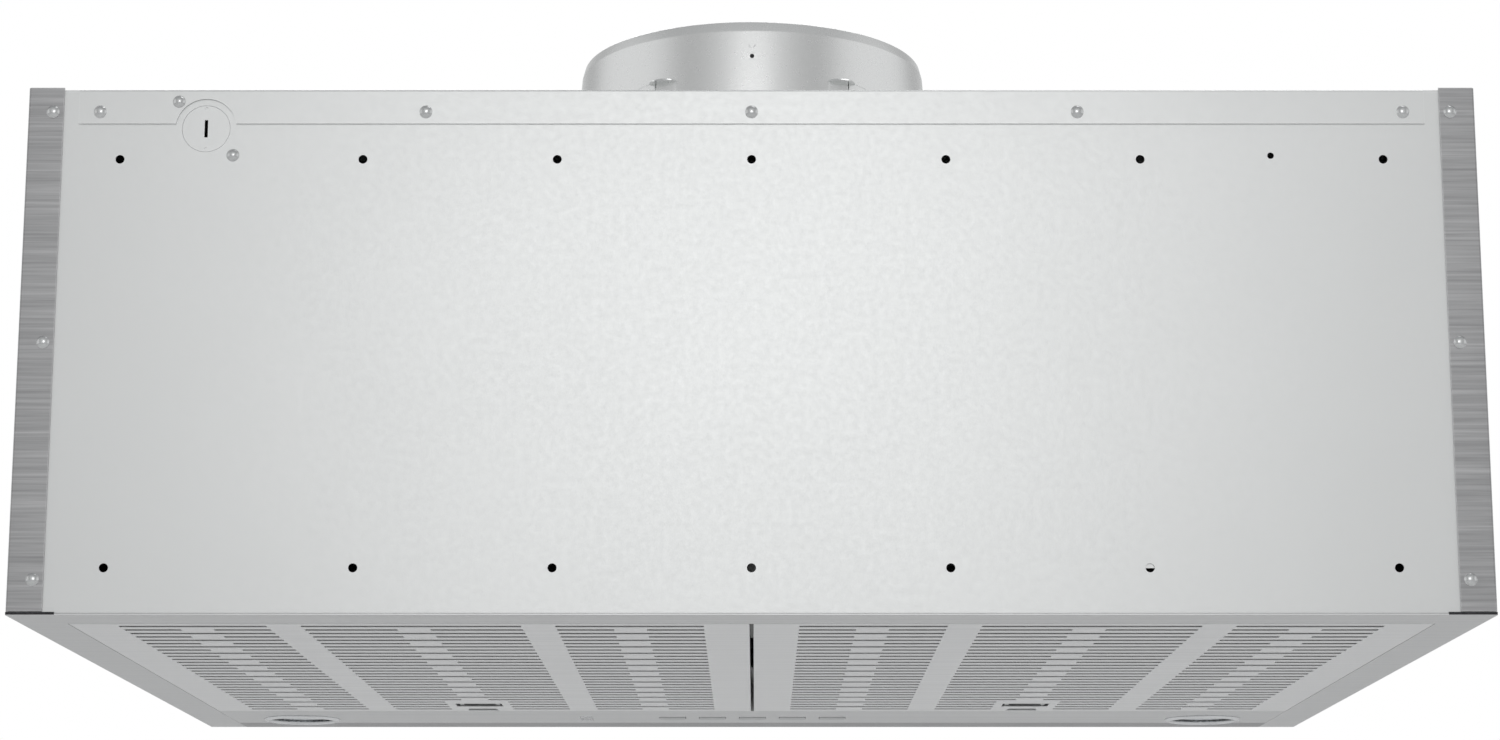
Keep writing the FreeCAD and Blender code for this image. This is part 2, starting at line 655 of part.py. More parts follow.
def button_carrier():
    """Moulded frame over the buttons: walls, a ledge under the board and a rib between each two keys."""
    ledge_z = BOARD_Z - 1.2
    rib_t = 1.2
    walls = carrier_block(0, SHEET, CARRIER_HIGH).cut(carrier_block(CARRIER_WALL, 0, CARRIER_HIGH + 2))
    ledge = carrier_block(1, ledge_z, BOARD_Z).cut(carrier_block(4, 0, CARRIER_HIGH + 2))
    pieces = [walls, ledge]
    for x in button_places()[:-1]:
        x0 = x + (BUTTON_PITCH - rib_t) / 2
        pieces.append(box(x0, x0 + rib_t, CARRIER_Y[0] + 1, CARRIER_Y[1] - 1, SHEET, ledge_z))
    return joined(pieces)


def control_board():
    """Circuit board with a tactile switch over each button and a connector for the cable."""
    board_t = 1.6
    switch_z = BOARD_Z - 3.2
    parts = [carrier_block(CARRIER_WALL + 0.3, BOARD_Z, BOARD_Z + board_t)]
    for x in button_places():
        parts.append(box(x - 3, x + 3, BUTTON_Y - 3, BUTTON_Y + 3, switch_z, BOARD_Z))
        parts.append(rod(x, BUTTON_Y, switch_z - 1.0, 1.7, 1.0))
    parts.append(box(-70, -50, BUTTON_Y - 8, BUTTON_Y + 8, BOARD_Z + board_t, BOARD_Z + 12.2))
    return joined(parts)


def window_lens():
    """Small dark window beside the buttons, with a collar above the strip."""
    rings = []
    for rim, low, high in ((0.0, 0.1, 1.4), (2.3, SHEET, 2.6)):
        half_w = WINDOW_HALF_W + rim
        half_d = WINDOW_HALF_D + rim
        low_y = WINDOW_Y - half_d
        rings.append(box(WINDOW_X - half_w, WINDOW_X + half_w, low_y, low_y + 2 * half_d, low, high))
    return joined(rings)


def led_driver():
    """Sealed supply for the lamps, screwed down by an ear at each end."""
    x0 = -300.0
    x1 = -212.0
    case = box(x0, x1, BUTTON_Y - 20, BUTTON_Y + 22, SHEET, 27)
    rounded = case.makeFillet(3, [edge for edge in case.Edges if edge.BoundBox.ZLength > 20])
    ears = [box(x - 7, x + 7, BUTTON_Y - 6, BUTTON_Y + 6, SHEET, 3.4) for x in (x0 - 6, x1 + 6)]
    return joined([rounded] + ears)


# ---- brackets -----------------------------------------------------------------------------------------
def rear_brace():
    """Small angle behind the back sheet that carries the cable duct; it half covers one mounting hole."""
    x0 = -MOUNT_X[2] - 18
    x1 = -MOUNT_X[2] + 20
    top = 62.0
    y1 = PANEL_REAR - SHEET
    web = box(x0, x1, y1 - SHEET, y1, MOUNT_ROW_LOW, top)
    shelf = box(x0, x1, y1 - 34, y1, top - SHEET, top)
    return joined([web, shelf])


def filter_rest():
    """Strip over the front end of the slit, hung on the control panel's rear fold."""
    half = 12.0
    low = FILTER_HEIGHT + 2.0
    y0 = OPENING_FRONT - 2 * SHEET
    web = box(-half, half, y0, y0 + SHEET, SHEET, low + SHEET)
    leg = box(-half, half, y0, OPENING_FRONT + 103, low, low + SHEET)
    return joined([web, leg])


# ---- duct collar and damper ---------------------------------------------------------------------------
DUCT_OPENING_R = 118.0
COLLAR_FLANGE_R = 156.0
COLLAR_SCREW_R = 146.0
COLLAR_FLANGE_H = 2.5
CHAMFER_H = 7.3
CHAMFER_R = 2.0
PIN_Z = RIM_Z - DAMPER_DROP
FLAP_R = 118.0
FLAP_T = 1.0
KNUCKLE_R = 3.0
KNUCKLE_LENGTH = 30.0
KNUCKLE_STARTS = (-96.0, 24.0)
PIN_PLAY = 0.05
PIN_INSET = 0.4            # the pin ends inside the wall, short of the rim's radius
SEAL_GAP = 0.3
SEAL_LOW = PIN_Z - FLAP_T / 2 - 2.4
SEAT_INNER_R = 112.0
PAD_EDGE_X = 67.8          # upright edge of the raised pad beside the ledge
PAD_STEP = 1.6             # the pad's height over the collar's wall
PAD_RAMP = [(67.8, 95.5), (79.0, 93.5), (90.0, 89.0), (100.5, 83.0), (112.0, 70.0)]
LEDGE_X = 61.0
LEDGE_REACH = 109.5        # centre of the ledge behind the collar's axis
LEDGE_R = 9.0
LEDGE_Z = 94.0
LEDGE_RISE = 26.0          # the ledge dies out this far above its flat underside


def collar_screw_places():
    angles = [math.radians(22.5 + 45 * index) for index in range(8)]
    return [(COLLAR_SCREW_R * math.cos(a), DUCT_Y + COLLAR_SCREW_R * math.sin(a)) for a in angles]


def collar_outer_r(height):
    """Outer radius of the tapered wall at a height above the top sheet."""
    return COLLAR_BASE_R - (COLLAR_BASE_R - COLLAR_RIM_R) * height / COLLAR_HEIGHT


def collar_boss():
    """Moulded boss on the rear right of the collar: a raised pad with a ramped top and a ledge beside it."""
    root = DUCT_Y + 60
    foot = BODY_HEIGHT + 1
    outline = [V(PAD_EDGE_X, root, foot)]
    outline += [V(x, root, BODY_HEIGHT + height) for x, height in PAD_RAMP]
    outline.append(V(PAD_RAMP[-1][0], root, foot))
    prism = extruded(outline, ALONG_Y * COLLAR_BASE_R)
    low_r = COLLAR_BASE_R + PAD_STEP
    high_r = collar_outer_r(COLLAR_HEIGHT) + PAD_STEP
    skin = Part.makeCone(low_r, high_r, COLLAR_HEIGHT, V(0, DUCT_Y, BODY_HEIGHT))
    pad = prism.common(skin)
    centre = V(LEDGE_X, DUCT_Y + LEDGE_REACH, BODY_HEIGHT + LEDGE_Z)
    ledge = Part.makeCone(LEDGE_R, 1.0, LEDGE_RISE, centre)
    return joined([pad, ledge])


def duct_collar():
    """Tapered ring with a screw flange, a seat for the damper's seal and the two bosses."""
    base_z = BODY_HEIGHT
    chamfer_r = collar_outer_r(COLLAR_HEIGHT - CHAMFER_H)
    outline = [
        (COLLAR_BASE_R - COLLAR_WALL, base_z),
        (COLLAR_FLANGE_R, base_z),
        (COLLAR_FLANGE_R, base_z + COLLAR_FLANGE_H),
        (COLLAR_BASE_R, base_z + COLLAR_FLANGE_H),
        (chamfer_r, RIM_Z - CHAMFER_H),
        (chamfer_r - CHAMFER_R, RIM_Z),
        (chamfer_r - COLLAR_WALL, RIM_Z),
    ]
    shell = turned(outline, 0, DUCT_Y)
    seat_outer = COLLAR_RIM_R + 1.0
    seat_low = SEAL_LOW - 2.0
    seat = turned(
        [(SEAT_INNER_R, seat_low), (seat_outer, seat_low), (seat_outer, SEAL_LOW), (SEAT_INNER_R, SEAL_LOW)],
        0,
        DUCT_Y,
    )
    bore = turned(
        [
            (0, base_z - 1),
            (COLLAR_BASE_R - COLLAR_WALL, base_z - 1),
            (COLLAR_BASE_R - COLLAR_WALL, base_z),
            (chamfer_r - COLLAR_WALL, RIM_Z),
            (chamfer_r - COLLAR_WALL, RIM_Z + 1),
            (0, RIM_Z + 1),
        ],
        0,
        DUCT_Y,
    )
    bosses = [collar_boss(), mirrored(collar_boss())]
    bosses = [boss.cut(bore) for boss in bosses]
    collar = joined([shell, seat] + bosses)
    cutters = [pin_bore()]
    for x, y in collar_screw_places():
        cutters.append(rod(x, y, BODY_HEIGHT - 1, SCREW_HOLE_R, 20))
        cutters.append(rod(x, y, BODY_HEIGHT + COLLAR_FLANGE_H, SCREW_HEAD_R + 1, 20))
    return collar.cut(cutters)


def pin_bore():
    return rod(0, DUCT_Y - COLLAR_FLANGE_R, PIN_Z, PIN_R + PIN_PLAY, 2 * COLLAR_FLANGE_R, ALONG_Y)


def damper_flap():
    """Half disk on the +X side, rolled round the pin at two places; the other half has the places between."""
    half_disk = rod(0, DUCT_Y, PIN_Z - FLAP_T / 2, FLAP_R, FLAP_T)
    plate = half_disk.common(box(KNUCKLE_R + 0.5, 200, DUCT_Y - 200, DUCT_Y + 200, 0, 600))
    pieces = [plate]
    for start in KNUCKLE_STARTS:
        y0 = DUCT_Y + start
        y1 = y0 + KNUCKLE_LENGTH
        pieces.append(rod(0, y0, PIN_Z, KNUCKLE_R, KNUCKLE_LENGTH, ALONG_Y))
        pieces.append(box(0.5, KNUCKLE_R + 2, y0, y1, PIN_Z - FLAP_T / 2, PIN_Z + FLAP_T / 2))
    return joined(pieces).cut(pin_bore())


def left_damper_flap():
    """The other half disk, turned half a turn about the collar's axis so the knuckles interleave."""
    flap = damper_flap()
    flap.rotate(V(0, DUCT_Y, 0), UP, 180)
    return flap


def damper_pin():
    """Hinge pin of both flaps, held in the collar's wall at each end."""
    reach = COLLAR_RIM_R - PIN_INSET
    return rod(0, DUCT_Y - reach, PIN_Z, PIN_R, 2 * reach, ALONG_Y)


def damper_seal():
    """Foam ring on the seat, in two halves that leave room for the knuckles."""
    top = PIN_Z - FLAP_T / 2 - SEAL_GAP
    inner = SEAT_INNER_R + 0.5
    outer = FLAP_R + 3.0
    ring = turned([(inner, SEAL_LOW), (outer, SEAL_LOW), (outer, top), (inner, top)], 0, DUCT_Y)
    room = KNUCKLE_R + 1.5
    return ring.cut(box(-room, room, DUCT_Y - 2 * outer, DUCT_Y + 2 * outer, SEAL_LOW - 1, top + 1))


def collar_screws():
    """Eight screws round the collar's flange."""
    z = BODY_HEIGHT + COLLAR_FLANGE_H
    return Part.makeCompound([dome_screw(x, y, z, UP, 8.0) for x, y in collar_screw_places()])


# ---- blower -------------------------------------------------------------------------------------------
INLET_R = 74.0
PLATE_HALF = 128.0
FLANGE_T = 1.2
SCROLL_SHEET = 1.0
SCROLL_TOP = BODY_HEIGHT - SHEET - FLANGE_T
SCROLL_FLANGE_HALF = 98.0
TONGUE_ANGLE = 105.0       # where the scroll's wall turns up into the throat
MOUTH_R = 6.0              # rolled edge of the inlet
MOTOR_R = 46.0
MOTOR_LENGTH = 78.0
MOTOR_BACK = -SCROLL_HALF - SCROLL_SHEET - 6
SHAFT_R = 4.0
SHAFT_PLAY = 0.05
DISK_X = 10.0
WHEEL_HALF = 74.0
BLADES = 36
BLADE_DEPTH = 14.6
BLADE_LEAN = 28.0


def scroll_face(x, shrink):
    """Fan scroll outline in the YZ plane: four quarter arcs of growing radius and a straight throat."""
    step = SCROLL_STEP
    radii = [SCROLL_START_R + index * step - shrink for index in range(4)]
    centres = [(FAN_Y + step, FAN_Z), (FAN_Y + step, FAN_Z - step), (FAN_Y, FAN_Z - step), (FAN_Y, FAN_Z)]
    spans = [(TONGUE_ANGLE, 90.0), (90.0, 0.0), (0.0, -90.0), (-90.0, -180.0)]

    def on_arc(index, degrees):
        angle = math.radians(degrees)
        return V(
            x,
            centres[index][0] + radii[index] * math.cos(angle),
            centres[index][1] + radii[index] * math.sin(angle),
        )

    top = SCROLL_TOP + (1.0 if shrink else 0.0)
    tongue = on_arc(0, spans[0][0])
    edges = [Part.LineSegment(V(x, tongue.y, top), tongue).toShape()]
    for index, (start, end) in enumerate(spans):
        middle = on_arc(index, (start + end) / 2)
        edges.append(Part.Arc(on_arc(index, start), middle, on_arc(index, end)).toShape())
    outer = on_arc(3, spans[3][1])
    edges.append(Part.LineSegment(outer, V(x, outer.y, top)).toShape())
    edges.append(Part.LineSegment(V(x, outer.y, top), V(x, tongue.y, top)).toShape())
    return Part.Face(Part.Wire(edges))


def blower_scroll():
    """Rolled wrapper of the scroll with the outlet flange."""
    outer = scroll_face(-SCROLL_HALF, 0).extrude(V(2 * SCROLL_HALF, 0, 0))
    inner = scroll_face(-SCROLL_HALF - 1, SCROLL_SHEET).extrude(V(2 * SCROLL_HALF + 2, 0, 0))
    bound = outer.BoundBox
    throat = scroll_throat()
    half = SCROLL_FLANGE_HALF
    flange = box(-half, half, bound.YMin - 14, throat[1] + 14, SCROLL_TOP - FLANGE_T, SCROLL_TOP)
    plates = SCROLL_HALF + 1.2
    flange = flange.cut(box(-plates, plates, throat[0], throat[1], HUB_Z, BODY_HEIGHT))
    cutters = [inner]
    for x, y in fan_screw_places():
        cutters.append(rod(x, y, SCROLL_TOP - 5, SCREW_HOLE_R, 10))
    return outer.fuse(flange).removeSplitter().cut(cutters)


def scroll_throat():
    """Inner faces of the throat along Y."""
    outer_wall = FAN_Y - (SCROLL_START_R + 3 * SCROLL_STEP) + SCROLL_SHEET
    angle = math.radians(TONGUE_ANGLE)
    tongue = FAN_Y + SCROLL_STEP + (SCROLL_START_R - SCROLL_SHEET) * math.cos(angle)
    return (outer_wall, tongue)


def fan_screw_places():
    throat = scroll_throat()
    y0 = throat[0] - 8
    y1 = throat[1] + 7
    return [(x, y) for x in (-60.0, 0.0, 60.0) for y in (y0, y1)]


def right_inlet_plate():
    """Side plate of the scroll with a rounded inlet mouth."""
    plate = scroll_face(SCROLL_HALF, 0).extrude(V(SCROLL_SHEET, 0, 0))
    high = box(0, 2 * SCROLL_HALF, FRONT, REAR, SCROLL_TOP - FLANGE_T, BODY_HEIGHT)
    hole = rod(SCROLL_HALF - 10, HUB_Y, HUB_Z, INLET_R, 30, ALONG_X)
    face_x = SCROLL_HALF + SCROLL_SHEET
    centre = V(face_x, HUB_Y, HUB_Z)
    mouth = Part.makeTorus(INLET_R + MOUTH_R, MOUTH_R, centre, ALONG_X)
    mouth = mouth.common(tube(face_x, HUB_Y, HUB_Z, INLET_R + MOUTH_R, INLET_R, 20, ALONG_X))
    core = Part.makeTorus(INLET_R + MOUTH_R, MOUTH_R - SCROLL_SHEET, centre, ALONG_X)
    return plate.cut([high, hole]).fuse(mouth.cut(core)).removeSplitter()


def motor_bracket():
    """Three-legged stamping across the left inlet that carries the motor."""
    face_x = -SCROLL_HALF - SCROLL_SHEET
    x0 = face_x - 8
    leg_t = 2.0
    leg_half = 8.0
    foot_z = HUB_Z + INLET_R + 14
    pieces = [tube(x0, HUB_Y, HUB_Z, MOTOR_R + 6, MOTOR_R - 14, leg_t, ALONG_X)]
    for index in range(3):
        leg = box(x0, x0 + leg_t, HUB_Y - leg_half, HUB_Y + leg_half, HUB_Z + MOTOR_R, foot_z + leg_t)
        foot = box(x0, face_x, HUB_Y - leg_half, HUB_Y + leg_half, foot_z, foot_z + leg_t)
        arm = joined([leg, foot])
        arm.rotate(V(0, HUB_Y, HUB_Z), ALONG_X, 90 + 120 * index)
        pieces.append(arm)
    return joined(pieces)


def blower_motor():
    """Motor case with end cap and vent slots; its shaft bore runs in from the wheel side."""
    vent_count = 10
    vent_depth = 3.0
    case = rod(MOTOR_BACK, HUB_Y, HUB_Z, MOTOR_R, MOTOR_LENGTH, ALONG_X)
    boss = rod(MOTOR_BACK + MOTOR_LENGTH, HUB_Y, HUB_Z, 14, 5, ALONG_X)
    tail = rod(MOTOR_BACK - 6, HUB_Y, HUB_Z, MOTOR_R - 15, 6, ALONG_X)
    bore = rod(MOTOR_BACK + 10, HUB_Y, HUB_Z, SHAFT_R + SHAFT_PLAY, 90, ALONG_X)
    low = HUB_Z + MOTOR_R - vent_depth
    cutters = [bore]
    for index in range(vent_count):
        vent = box(MOTOR_BACK + 12, MOTOR_BACK + 60, HUB_Y - 2, HUB_Y + 2, low, HUB_Z + MOTOR_R + 1)
        vent.rotate(V(0, HUB_Y, HUB_Z), ALONG_X, index * 360 / vent_count)
        cutters.append(vent)
    return joined([case, boss, tail]).cut(cutters)


def motor_shaft():
    """Shaft from inside the motor to just past the wheel's hub."""
    start = MOTOR_BACK + 11
    return rod(start, HUB_Y, HUB_Z, SHAFT_R, DISK_X + 22 - start, ALONG_X)


def impeller():
    """Double-inlet wheel: hub, centre disk, forward-curved blades and two end rings."""
    ring_t = 3.0
    blade_top = WHEEL_R - 0.4
    disk = rod(DISK_X - 1, HUB_Y, HUB_Z, WHEEL_R, 2, ALONG_X)
    hub = rod(DISK_X - 8, HUB_Y, HUB_Z, 15, 24, ALONG_X)
    pieces = [disk, hub]
    for x in (-WHEEL_HALF, WHEEL_HALF - ring_t):
        pieces.append(tube(x, HUB_Y, HUB_Z, WHEEL_R, WHEEL_R - 8, ring_t, ALONG_X))
    for index in range(BLADES):
        blade = box(-WHEEL_HALF, WHEEL_HALF, -0.5, 0.5, blade_top - BLADE_DEPTH, blade_top)
        blade.rotate(V(0, 0, blade_top), ALONG_X, BLADE_LEAN)
        blade.rotate(V(0, 0, 0), ALONG_X, index * 360 / BLADES)
        blade.translate(V(0, HUB_Y, HUB_Z))
        pieces.append(blade)
    bore = rod(-WHEEL_HALF - 1, HUB_Y, HUB_Z, SHAFT_R, 2 * WHEEL_HALF, ALONG_X)
    return joined(pieces).cut(bore)


def blower_mount_plate():
    """Square plate under the top sheet that the scroll hangs from."""
    throat = scroll_throat()
    z0 = SCROLL_TOP
    reach = 125.0
    plate = box(-PLATE_HALF, PLATE_HALF, DUCT_Y - reach, DUCT_Y + reach, z0, z0 + FLANGE_T)
    throat_hole = box(-SCROLL_HALF, SCROLL_HALF, throat[0], throat[1], z0 - 1, BODY_HEIGHT)
    places = fan_screw_places() + collar_screw_places()
    holes = [rod(x, y, z0 - 1, SCREW_HOLE_R, 2 * FLANGE_T) for x, y in places]
    return plate.cut([throat_hole] + holes)


def blower_screws():
    """Six screws up through the scroll's flange."""
    down = UP * -1
    seat = SCROLL_TOP - FLANGE_T
    return Part.makeCompound([dome_screw(x, y, seat, down, 4.0) for x, y in fan_screw_places()])


def run_capacitor():
    """Round capacitor on the right inlet plate, with its clip."""
    x0 = SCROLL_HALF + SCROLL_SHEET
    y = FAN_Y - 92
    z = SCROLL_TOP - 40
    can = rod(x0 + 1, y, z, 17, 55, ALONG_X)
    foot = box(x0, x0 + 1, y - 20, y + 20, z - 12, z + 12)
    return joined([can, foot])


# ---- write every piece --------------------------------------------------------------------------------
def pieces():
    parts = {
        "rear_panel": rear_panel(),
        "top_panel": top_panel(),
        "right_side_panel": right_side_panel(),
        "left_side_panel": mirrored(right_side_panel()),
        "front_panel": front_panel(),
        "bottom_frame": bottom_frame(),
        "control_panel": control_panel(),
        "knockout_disk": knockout_disk(),
        "rear_screws": rear_screws(),
        "box_rivets": box_rivets(),
        "junction_box": junction_box(),
        "junction_box_cover": junction_box_cover(),
        "terminal_block": terminal_block(),
        "supply_cable": supply_cable(),
        "duct_collar": duct_collar(),
        "collar_screws": collar_screws(),
        "right_damper_flap": damper_flap(),
        "left_damper_flap": left_damper_flap(),
        "damper_pin": damper_pin(),
        "damper_seal": damper_seal(),
        "button_carrier": button_carrier(),
        "control_board": control_board(),
        "window_lens": window_lens(),
        "led_driver": led_driver(),
        "led_modules": led_modules(),
        "rear_brace": rear_brace(),
        "filter_rest": filter_rest(),
        "blower_scroll": blower_scroll(),
        "right_inlet_plate": right_inlet_plate(),
        "left_inlet_plate": mirrored(right_inlet_plate()),
        "blower_motor": blower_motor(),
        "motor_bracket": motor_bracket(),
        "motor_shaft": motor_shaft(),
        "impeller": impeller(),
        "blower_mount_plate": blower_mount_plate(),
        "blower_screws": blower_screws(),
        "run_capacitor": run_capacitor(),
    }
    right_filter = {
        "filter_face": filter_face(),
        "filter_baffle": filter_baffle(),
        "filter_cover": filter_cover(),
        "latch": latch(),
        "latch_spring": latch_spring(),
    }
    for name, shape in right_filter.items():
        parts["right_" + name] = shape
        parts["left_" + name] = mirrored(shape)
    for side, sign in (("left", -1), ("right", 1)):
        parts[side + "_lamp_bezel"] = lamp_bezel(sign * LAMP_X)
        parts[side + "_lamp_lens"] = lamp_lens(sign * LAMP_X)
        parts[side + "_lamp_reflector"] = lamp_reflector(sign * LAMP_X)
        parts[side + "_lamp_can"] = lamp_can(sign * LAMP_X)
    keys = ("light", "fan_off", "fan_low", "fan_medium", "fan_high")
    for key, x in zip(keys, button_places()):
        parts[key + "_button"] = button(x)
    return parts


os.makedirs("parts", exist_ok=True)
for node, shape in pieces().items():
    shape.exportStep(os.path.join("parts", node + ".step"))
    print(f"{node:22s} solids {len(shape.Solids)}  valid {shape.isValid()}  {shape.Volume / 1000:9.2f} cm3")
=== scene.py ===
from math import cos, pi, radians, sin

import bmesh
import bpy
from mathutils import Matrix, Vector


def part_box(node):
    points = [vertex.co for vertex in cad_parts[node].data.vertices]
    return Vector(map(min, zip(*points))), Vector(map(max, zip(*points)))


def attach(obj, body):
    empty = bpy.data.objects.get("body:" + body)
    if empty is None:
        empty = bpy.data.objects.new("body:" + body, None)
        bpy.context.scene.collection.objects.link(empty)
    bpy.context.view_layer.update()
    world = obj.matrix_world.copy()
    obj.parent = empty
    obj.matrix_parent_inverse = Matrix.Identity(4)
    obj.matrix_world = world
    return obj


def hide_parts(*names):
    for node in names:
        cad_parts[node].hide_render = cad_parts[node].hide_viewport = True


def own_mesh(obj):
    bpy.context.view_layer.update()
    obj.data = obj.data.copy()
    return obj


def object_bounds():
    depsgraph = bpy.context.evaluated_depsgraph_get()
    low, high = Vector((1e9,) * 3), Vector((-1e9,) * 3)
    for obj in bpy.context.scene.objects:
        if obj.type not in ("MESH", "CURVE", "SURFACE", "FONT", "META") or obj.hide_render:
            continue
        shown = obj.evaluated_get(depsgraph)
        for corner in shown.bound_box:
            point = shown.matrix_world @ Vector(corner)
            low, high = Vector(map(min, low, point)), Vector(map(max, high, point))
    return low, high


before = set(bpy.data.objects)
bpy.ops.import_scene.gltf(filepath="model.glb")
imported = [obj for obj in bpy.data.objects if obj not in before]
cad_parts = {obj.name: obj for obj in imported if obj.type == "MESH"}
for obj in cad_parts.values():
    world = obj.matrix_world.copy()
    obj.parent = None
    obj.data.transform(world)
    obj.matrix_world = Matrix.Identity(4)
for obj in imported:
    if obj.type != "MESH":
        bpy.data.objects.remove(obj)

cad_low, cad_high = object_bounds()

# ---- back and top sheets ---------------------------------------------------------------------------------
# Folded galvanised steel, passed through a leveller, so the zinc is a soft matt grey with a faint mottle.
# The rear panel carries the mounting holes; the top sheet laps over it with a folded flange.
SHEET_EDGE = 0.00025
BEND_RADIUS = 0.0012
TOUCH = 0.00002
FOLD_ANGLE = radians(35)
SHARP_ANGLE = radians(50)


def finish_material(name, colour, metallic, roughness):
    """A material with its shader, ready for a pattern: returns the material, its nodes, links and shader."""
    material = bpy.data.materials.new(name)
    material.use_nodes = True
    nodes = material.node_tree.nodes
    shader = nodes["Principled BSDF"]
    shader.inputs["Base Color"].default_value = (*colour, 1)
    shader.inputs["Metallic"].default_value = metallic
    shader.inputs["Roughness"].default_value = roughness
    return material, nodes, material.node_tree.links, shader


def new_effect(name, inputs, outputs):
    """An empty shader node group with named sockets: the group, its nodes, links, input and output."""
    group = bpy.data.node_groups.new(name, "ShaderNodeTree")
    for label, kind, value in inputs:
        socket = group.interface.new_socket(label, in_out="INPUT", socket_type=kind)
        if value is not None:
            socket.default_value = value
    for label, kind in outputs:
        group.interface.new_socket(label, in_out="OUTPUT", socket_type=kind)
    inlet = group.nodes.new("NodeGroupInput")
    outlet = group.nodes.new("NodeGroupOutput")
    return group, group.nodes, group.links, inlet, outlet


def make_mottle():
    """Cloudy variation of a rolled or coated surface: a wide soft noise with a finer one over it."""
    group, nodes, links, inlet, outlet = new_effect(
        "mottle",
        [("Vector", "NodeSocketVector", None), ("Size", "NodeSocketFloat", 12.0)],
        [("Mask", "NodeSocketFloat"), ("Fine", "NodeSocketFloat")],
    )
    wide = nodes.new("ShaderNodeTexNoise")
    wide.inputs["Detail"].default_value = 3
    wide.inputs["Roughness"].default_value = 0.55
    fine = nodes.new("ShaderNodeTexNoise")
    fine.inputs["Detail"].default_value = 4
    fine.inputs["Roughness"].default_value = 0.6
    times = nodes.new("ShaderNodeMath")
    times.operation = "MULTIPLY"
    times.inputs[1].default_value = 28
    links.new(inlet.outputs["Vector"], wide.inputs["Vector"])
    links.new(inlet.outputs["Size"], wide.inputs["Scale"])
    links.new(inlet.outputs["Vector"], fine.inputs["Vector"])
    links.new(inlet.outputs["Size"], times.inputs[0])
    links.new(times.outputs[0], fine.inputs["Scale"])
    links.new(wide.outputs["Fac"], outlet.inputs["Mask"])
    links.new(fine.outputs["Fac"], outlet.inputs["Fine"])
    return group


def make_edge_wear_and_highlight():
    """Painted edge highlight and rubbed wear on handled or sheared edges: where the rounded normal leaves the
    flat one.
    """
    group, nodes, links, inlet, outlet = new_effect(
        "edge_wear_and_highlight",
        [("Vector", "NodeSocketVector", None), ("Radius", "NodeSocketFloat", 0.0008)],
        [("Wear_and_highlight", "NodeSocketFloat")],
    )
    rounded = nodes.new("ShaderNodeBevel")
    rounded.samples = 4
    flat = nodes.new("ShaderNodeNewGeometry")
    dot = nodes.new("ShaderNodeVectorMath")
    dot.operation = "DOT_PRODUCT"
    away = nodes.new("ShaderNodeMapRange")
    away.inputs["From Min"].default_value = 0.995
    away.inputs["From Max"].default_value = 0.80
    rub = nodes.new("ShaderNodeTexNoise")
    rub.inputs["Scale"].default_value = 180
    rub.inputs["Detail"].default_value = 3
    both = nodes.new("ShaderNodeMath")
    both.operation = "MULTIPLY"
    links.new(inlet.outputs["Radius"], rounded.inputs["Radius"])
    links.new(inlet.outputs["Vector"], rub.inputs["Vector"])
    links.new(rounded.outputs["Normal"], dot.inputs[0])
    links.new(flat.outputs["True Normal"], dot.inputs[1])
    links.new(dot.outputs["Value"], away.inputs["Value"])
    links.new(away.outputs["Result"], both.inputs[0])
    links.new(rub.outputs["Fac"], both.inputs[1])
    links.new(both.outputs[0], outlet.inputs["Wear_and_highlight"])
    return group


mottle = make_mottle()
edge_wear_and_highlight = make_edge_wear_and_highlight()


def place_effect(nodes, links, group, values):
    """Puts a shared effect in a material, reading the piece's own coordinates."""
    node = nodes.new("ShaderNodeGroup")
    node.node_tree = group
    place = nodes.get("Place") or nodes.new("ShaderNodeTexCoord")
    place.name = "Place"
    links.new(place.outputs["Object"], node.inputs["Vector"])
    for label, value in values.items():
        node.inputs[label].default_value = value
    return node


def blend_colours(nodes, links, mask, first, second):
    """Colour that goes from first to second along a mask; either may be a colour or another node's output."""
    mix = nodes.new("ShaderNodeMix")
    mix.data_type = "RGBA"
    links.new(mask, mix.inputs["Factor"])
    for socket, colour in (("A", first), ("B", second)):
        if isinstance(colour, tuple):
            mix.inputs[socket].default_value = (*colour, 1)
        else:
            links.new(colour, mix.inputs[socket])
    return mix.outputs["Result"]


def remap(nodes, links, source, low, high):
    """Spreads a 0 to 1 pattern between two values."""
    spread = nodes.new("ShaderNodeMapRange")
    spread.inputs["From Min"].default_value = 0.3
    spread.inputs["From Max"].default_value = 0.7
    spread.inputs["To Min"].default_value = low
    spread.inputs["To Max"].default_value = high
    links.new(source, spread.inputs["Value"])
    return spread.outputs["Result"]


def bumped(nodes, links, shader, source, depth):
    """Feeds a pattern to the shader's normal as a fine relief, depth in metres."""
    bump = nodes.new("ShaderNodeBump")
    bump.inputs["Strength"].default_value = 1.0
    bump.inputs["Distance"].default_value = depth
    links.new(source, bump.inputs["Height"])
    links.new(bump.outputs["Normal"], shader.inputs["Normal"])


def galvanised(name, dark, light, roughness):
    material, nodes, links, shader = finish_material(name, light, 0.85, roughness)
    cloud = place_effect(nodes, links, mottle, {"Size": 9.0})
    wear_and_highlight = place_effect(nodes, links, edge_wear_and_highlight, {"Radius": 0.0008})
    zinc = blend_colours(nodes, links, cloud.outputs["Mask"], dark, light)
    # The edges lighten towards near white as rubbed wear and as a painted edge highlight.
    colour = blend_colours(nodes, links, wear_and_highlight.outputs["Wear_and_highlight"], zinc, (0.93, 0.94, 0.94))
    links.new(colour, shader.inputs["Base Color"])
    rough = remap(nodes, links, cloud.outputs["Fine"], roughness - 0.02, roughness + 0.02)
    links.new(rough, shader.inputs["Roughness"])
    bumped(nodes, links, shader, cloud.outputs["Fine"], 0.00002)
    return material


def round_off(shell, edges, radius, segments):
    bmesh.ops.bevel(
        shell, geom=edges, offset=radius, offset_type="OFFSET", segments=segments, profile=0.5,
        affect="EDGES", material=-1, clamp_overlap=True,
    )


def corner_edges(shell):
    return [e for e in shell.edges if len(e.link_faces) == 2 and e.calc_face_angle(0) > FOLD_ANGLE]


